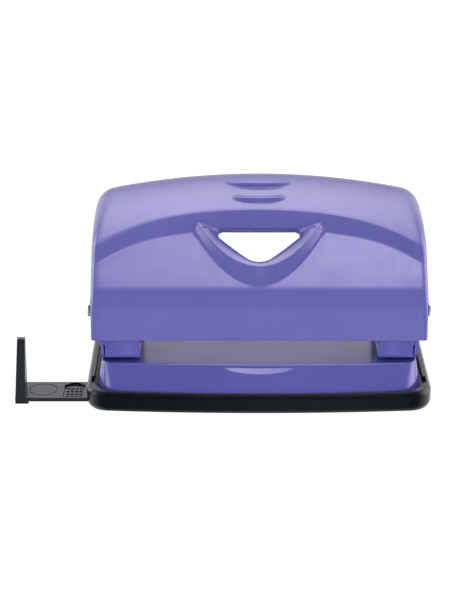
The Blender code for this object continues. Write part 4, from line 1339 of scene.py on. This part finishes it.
make_handle()
make_pressure_bar()
make_base_plate()
for label, side in (("left", -1), ("right", 1)):
    make_bracket(side, "punch_bracket_" + label)
    make_bracket_edge(side, label)
    for index, row in enumerate(RIVET_ROWS):
        make_bracket_rivet(f"bracket_rivet_{label}_{index + 1}", side * PIN_X, row)
    make_axle_rivet("axle_rivet_" + label, side)
    make_washer("axle_washer_" + label)
    make_pin("punch_pin_" + label, side * PIN_X, "pin_" + label)
    make_clip("pin_clip_" + label, side * PIN_X, "pin_" + label)
    make_spring("return_spring_" + label, side * PIN_X)
make_chip_tray()
make_paper_guide()


# ---- camera, floor and light ----
CAMERA_AT = (-0.010, -0.5608, 0.2337)
CAMERA_TILT = 69.0             # degrees from straight down
CAMERA_LENS = 115.8


def set_camera():
    data = bpy.data.cameras.new("camera")
    data.lens = CAMERA_LENS
    data.sensor_width = 36.0
    camera = bpy.data.objects.new("camera", data)
    camera.location = CAMERA_AT
    camera.rotation_euler = (math.radians(CAMERA_TILT), 0.0, 0.0)
    bpy.context.scene.collection.objects.link(camera)
    bpy.context.scene.camera = camera


FLOOR_Z = -0.0002
FLOOR_GLOW = 0.96              # makes the pale floor fade into the background


def make_floor():
    front, rear, reach = -0.135, 2.0, 1.5
    mesh = bpy.data.meshes.new("floor")
    corners = [(-reach, front, FLOOR_Z), (reach, front, FLOOR_Z), (reach, rear, FLOOR_Z),
               (-reach, rear, FLOOR_Z)]
    mesh.from_pydata(corners, [], [(0, 1, 2, 3)])
    floor = bpy.data.objects.new("floor", mesh)
    bpy.context.scene.collection.objects.link(floor)
    s = Shader("pale_floor")
    s.put(Base_Color=(0.14, 0.14, 0.14, 1.0))
    s.put(Roughness=0.9)
    s.put(Specular_IOR_Level=0.0)
    s.put(Emission_Color=WHITE)
    s.put(Emission_Strength=FLOOR_GLOW)
    floor.data.materials.append(s.material)
    floor.visible_glossy = False


# Brightness of the studio as the paint mirrors it, in the plane x = 0: (degrees, brightness).
# 0 is the rear horizon, 90 is overhead, 180 is the front horizon and below 0 is underneath.
STUDIO = ((-180, 0.5), (-160, 1.1), (-120, 0.8), (-60, 0.8), (-25, 0.8), (0, 0.5), (14, 0.6),
          (22, 1.35), (32, 2.1), (50, 4.9), (72, 7.0), (86, 6.2), (100, 7.0), (112, 8.4),
          (117, 5.9), (121, 2.6), (127, 0.4), (180, 0.5))
STUDIO_PEAK = 8.4
STUDIO_TINT = (1.0, 0.92, 0.95, 1.0)
SIDE_LEVEL = 1.15              # brightness far to the sides
SIDE_BOX = (0.90, 0.15, 0.20)  # direction of the softbox on the right; its twin is on the left
SIDE_BOX_LEVEL = 3.6
FRONT_BOX_CENTRE = 0.08        # sideways centre of the overhead softbox's front part
EVEN_LEVEL = 1.35              # even light from the horizon
EVEN_FALL = 0.6                # how much of it is missing straight above and below
FRONT_BOX_FADE = 18.0          # how fast that part fades sideways
REAR_FILL = 7.0                # extra even light from low behind
BACKDROP_LEVEL = 1.3           # brightness of the background that the camera sees


def make_world():
    world = bpy.data.worlds.new("studio")
    bpy.context.scene.world = world
    world.use_nodes = True
    world.cycles.sampling_method = "NONE"
    w = Nodes(world.node_tree)
    w.tree.nodes.clear()
    direction = w.node("ShaderNodeTexCoord").outputs["Generated"]
    split = w.node("ShaderNodeSeparateXYZ")
    w.feed(split.inputs["Vector"], direction)
    x, y, z = (split.outputs[axis] for axis in "XYZ")
    turn = w.math("ARCTAN2", z, y)
    turn = w.plus(w.math("DIVIDE", turn, 2 * math.pi), 0.5)
    levels = [(degrees / 360 + 0.5, level / STUDIO_PEAK) for degrees, level in STUDIO]
    across = w.times(w.ramp(turn, levels), STUDIO_PEAK)
    # The overhead softbox fades sideways in its front part.
    offset = w.math("SUBTRACT", x, FRONT_BOX_CENTRE)
    fade = w.times(w.times(offset, offset), FRONT_BOX_FADE)
    fade = w.times(w.math("MINIMUM", fade, 0.75), w.step(y, 0.05, -0.25))
    across = w.times(across, w.math("SUBTRACT", 1.0, fade))
    side = w.math("ABSOLUTE", x)
    sides = w.times(w.plus(w.step(y, -0.55, -0.1), 0.25), SIDE_LEVEL)
    mirrored = w.between(w.step(side, 0.12, 0.66), across, sides)
    flip = w.node("ShaderNodeCombineXYZ")
    for socket, value in zip(flip.inputs, (side, y, z)):
        w.feed(socket, value)
    toward = w.node("ShaderNodeVectorMath", operation="DOT_PRODUCT")
    w.feed(toward.inputs[0], flip.outputs["Vector"])
    w.feed(toward.inputs[1], Vector(SIDE_BOX).normalized())
    side_box = w.times(w.step(toward.outputs["Value"], 0.84, 0.93), SIDE_BOX_LEVEL)
    mirrored = w.plus(mirrored, side_box)
    # What lights the surfaces evenly: more from the sides than from above or below, and most
    # from straight behind.
    even = w.plus(w.times(w.math("ABSOLUTE", z), -EVEN_FALL), EVEN_LEVEL)
    even = w.plus(even, w.times(w.step(y, 0.83, 0.97), REAR_FILL))
    path = w.node("ShaderNodeLightPath")
    glossy = path.outputs["Is Glossy Ray"]
    lit = w.between(glossy, even, mirrored)
    background = w.node("ShaderNodeBackground")
    w.feed(background.inputs["Color"], w.blend(glossy, WHITE, STUDIO_TINT))
    w.feed(background.inputs["Strength"],
           w.between(path.outputs["Is Camera Ray"], lit, BACKDROP_LEVEL))
    output = w.node("ShaderNodeOutputWorld")
    w.feed(output.inputs["Surface"], background.outputs["Background"])


set_camera()
make_floor()
make_world()
bpy.context.scene.view_settings.view_transform = "Standard"
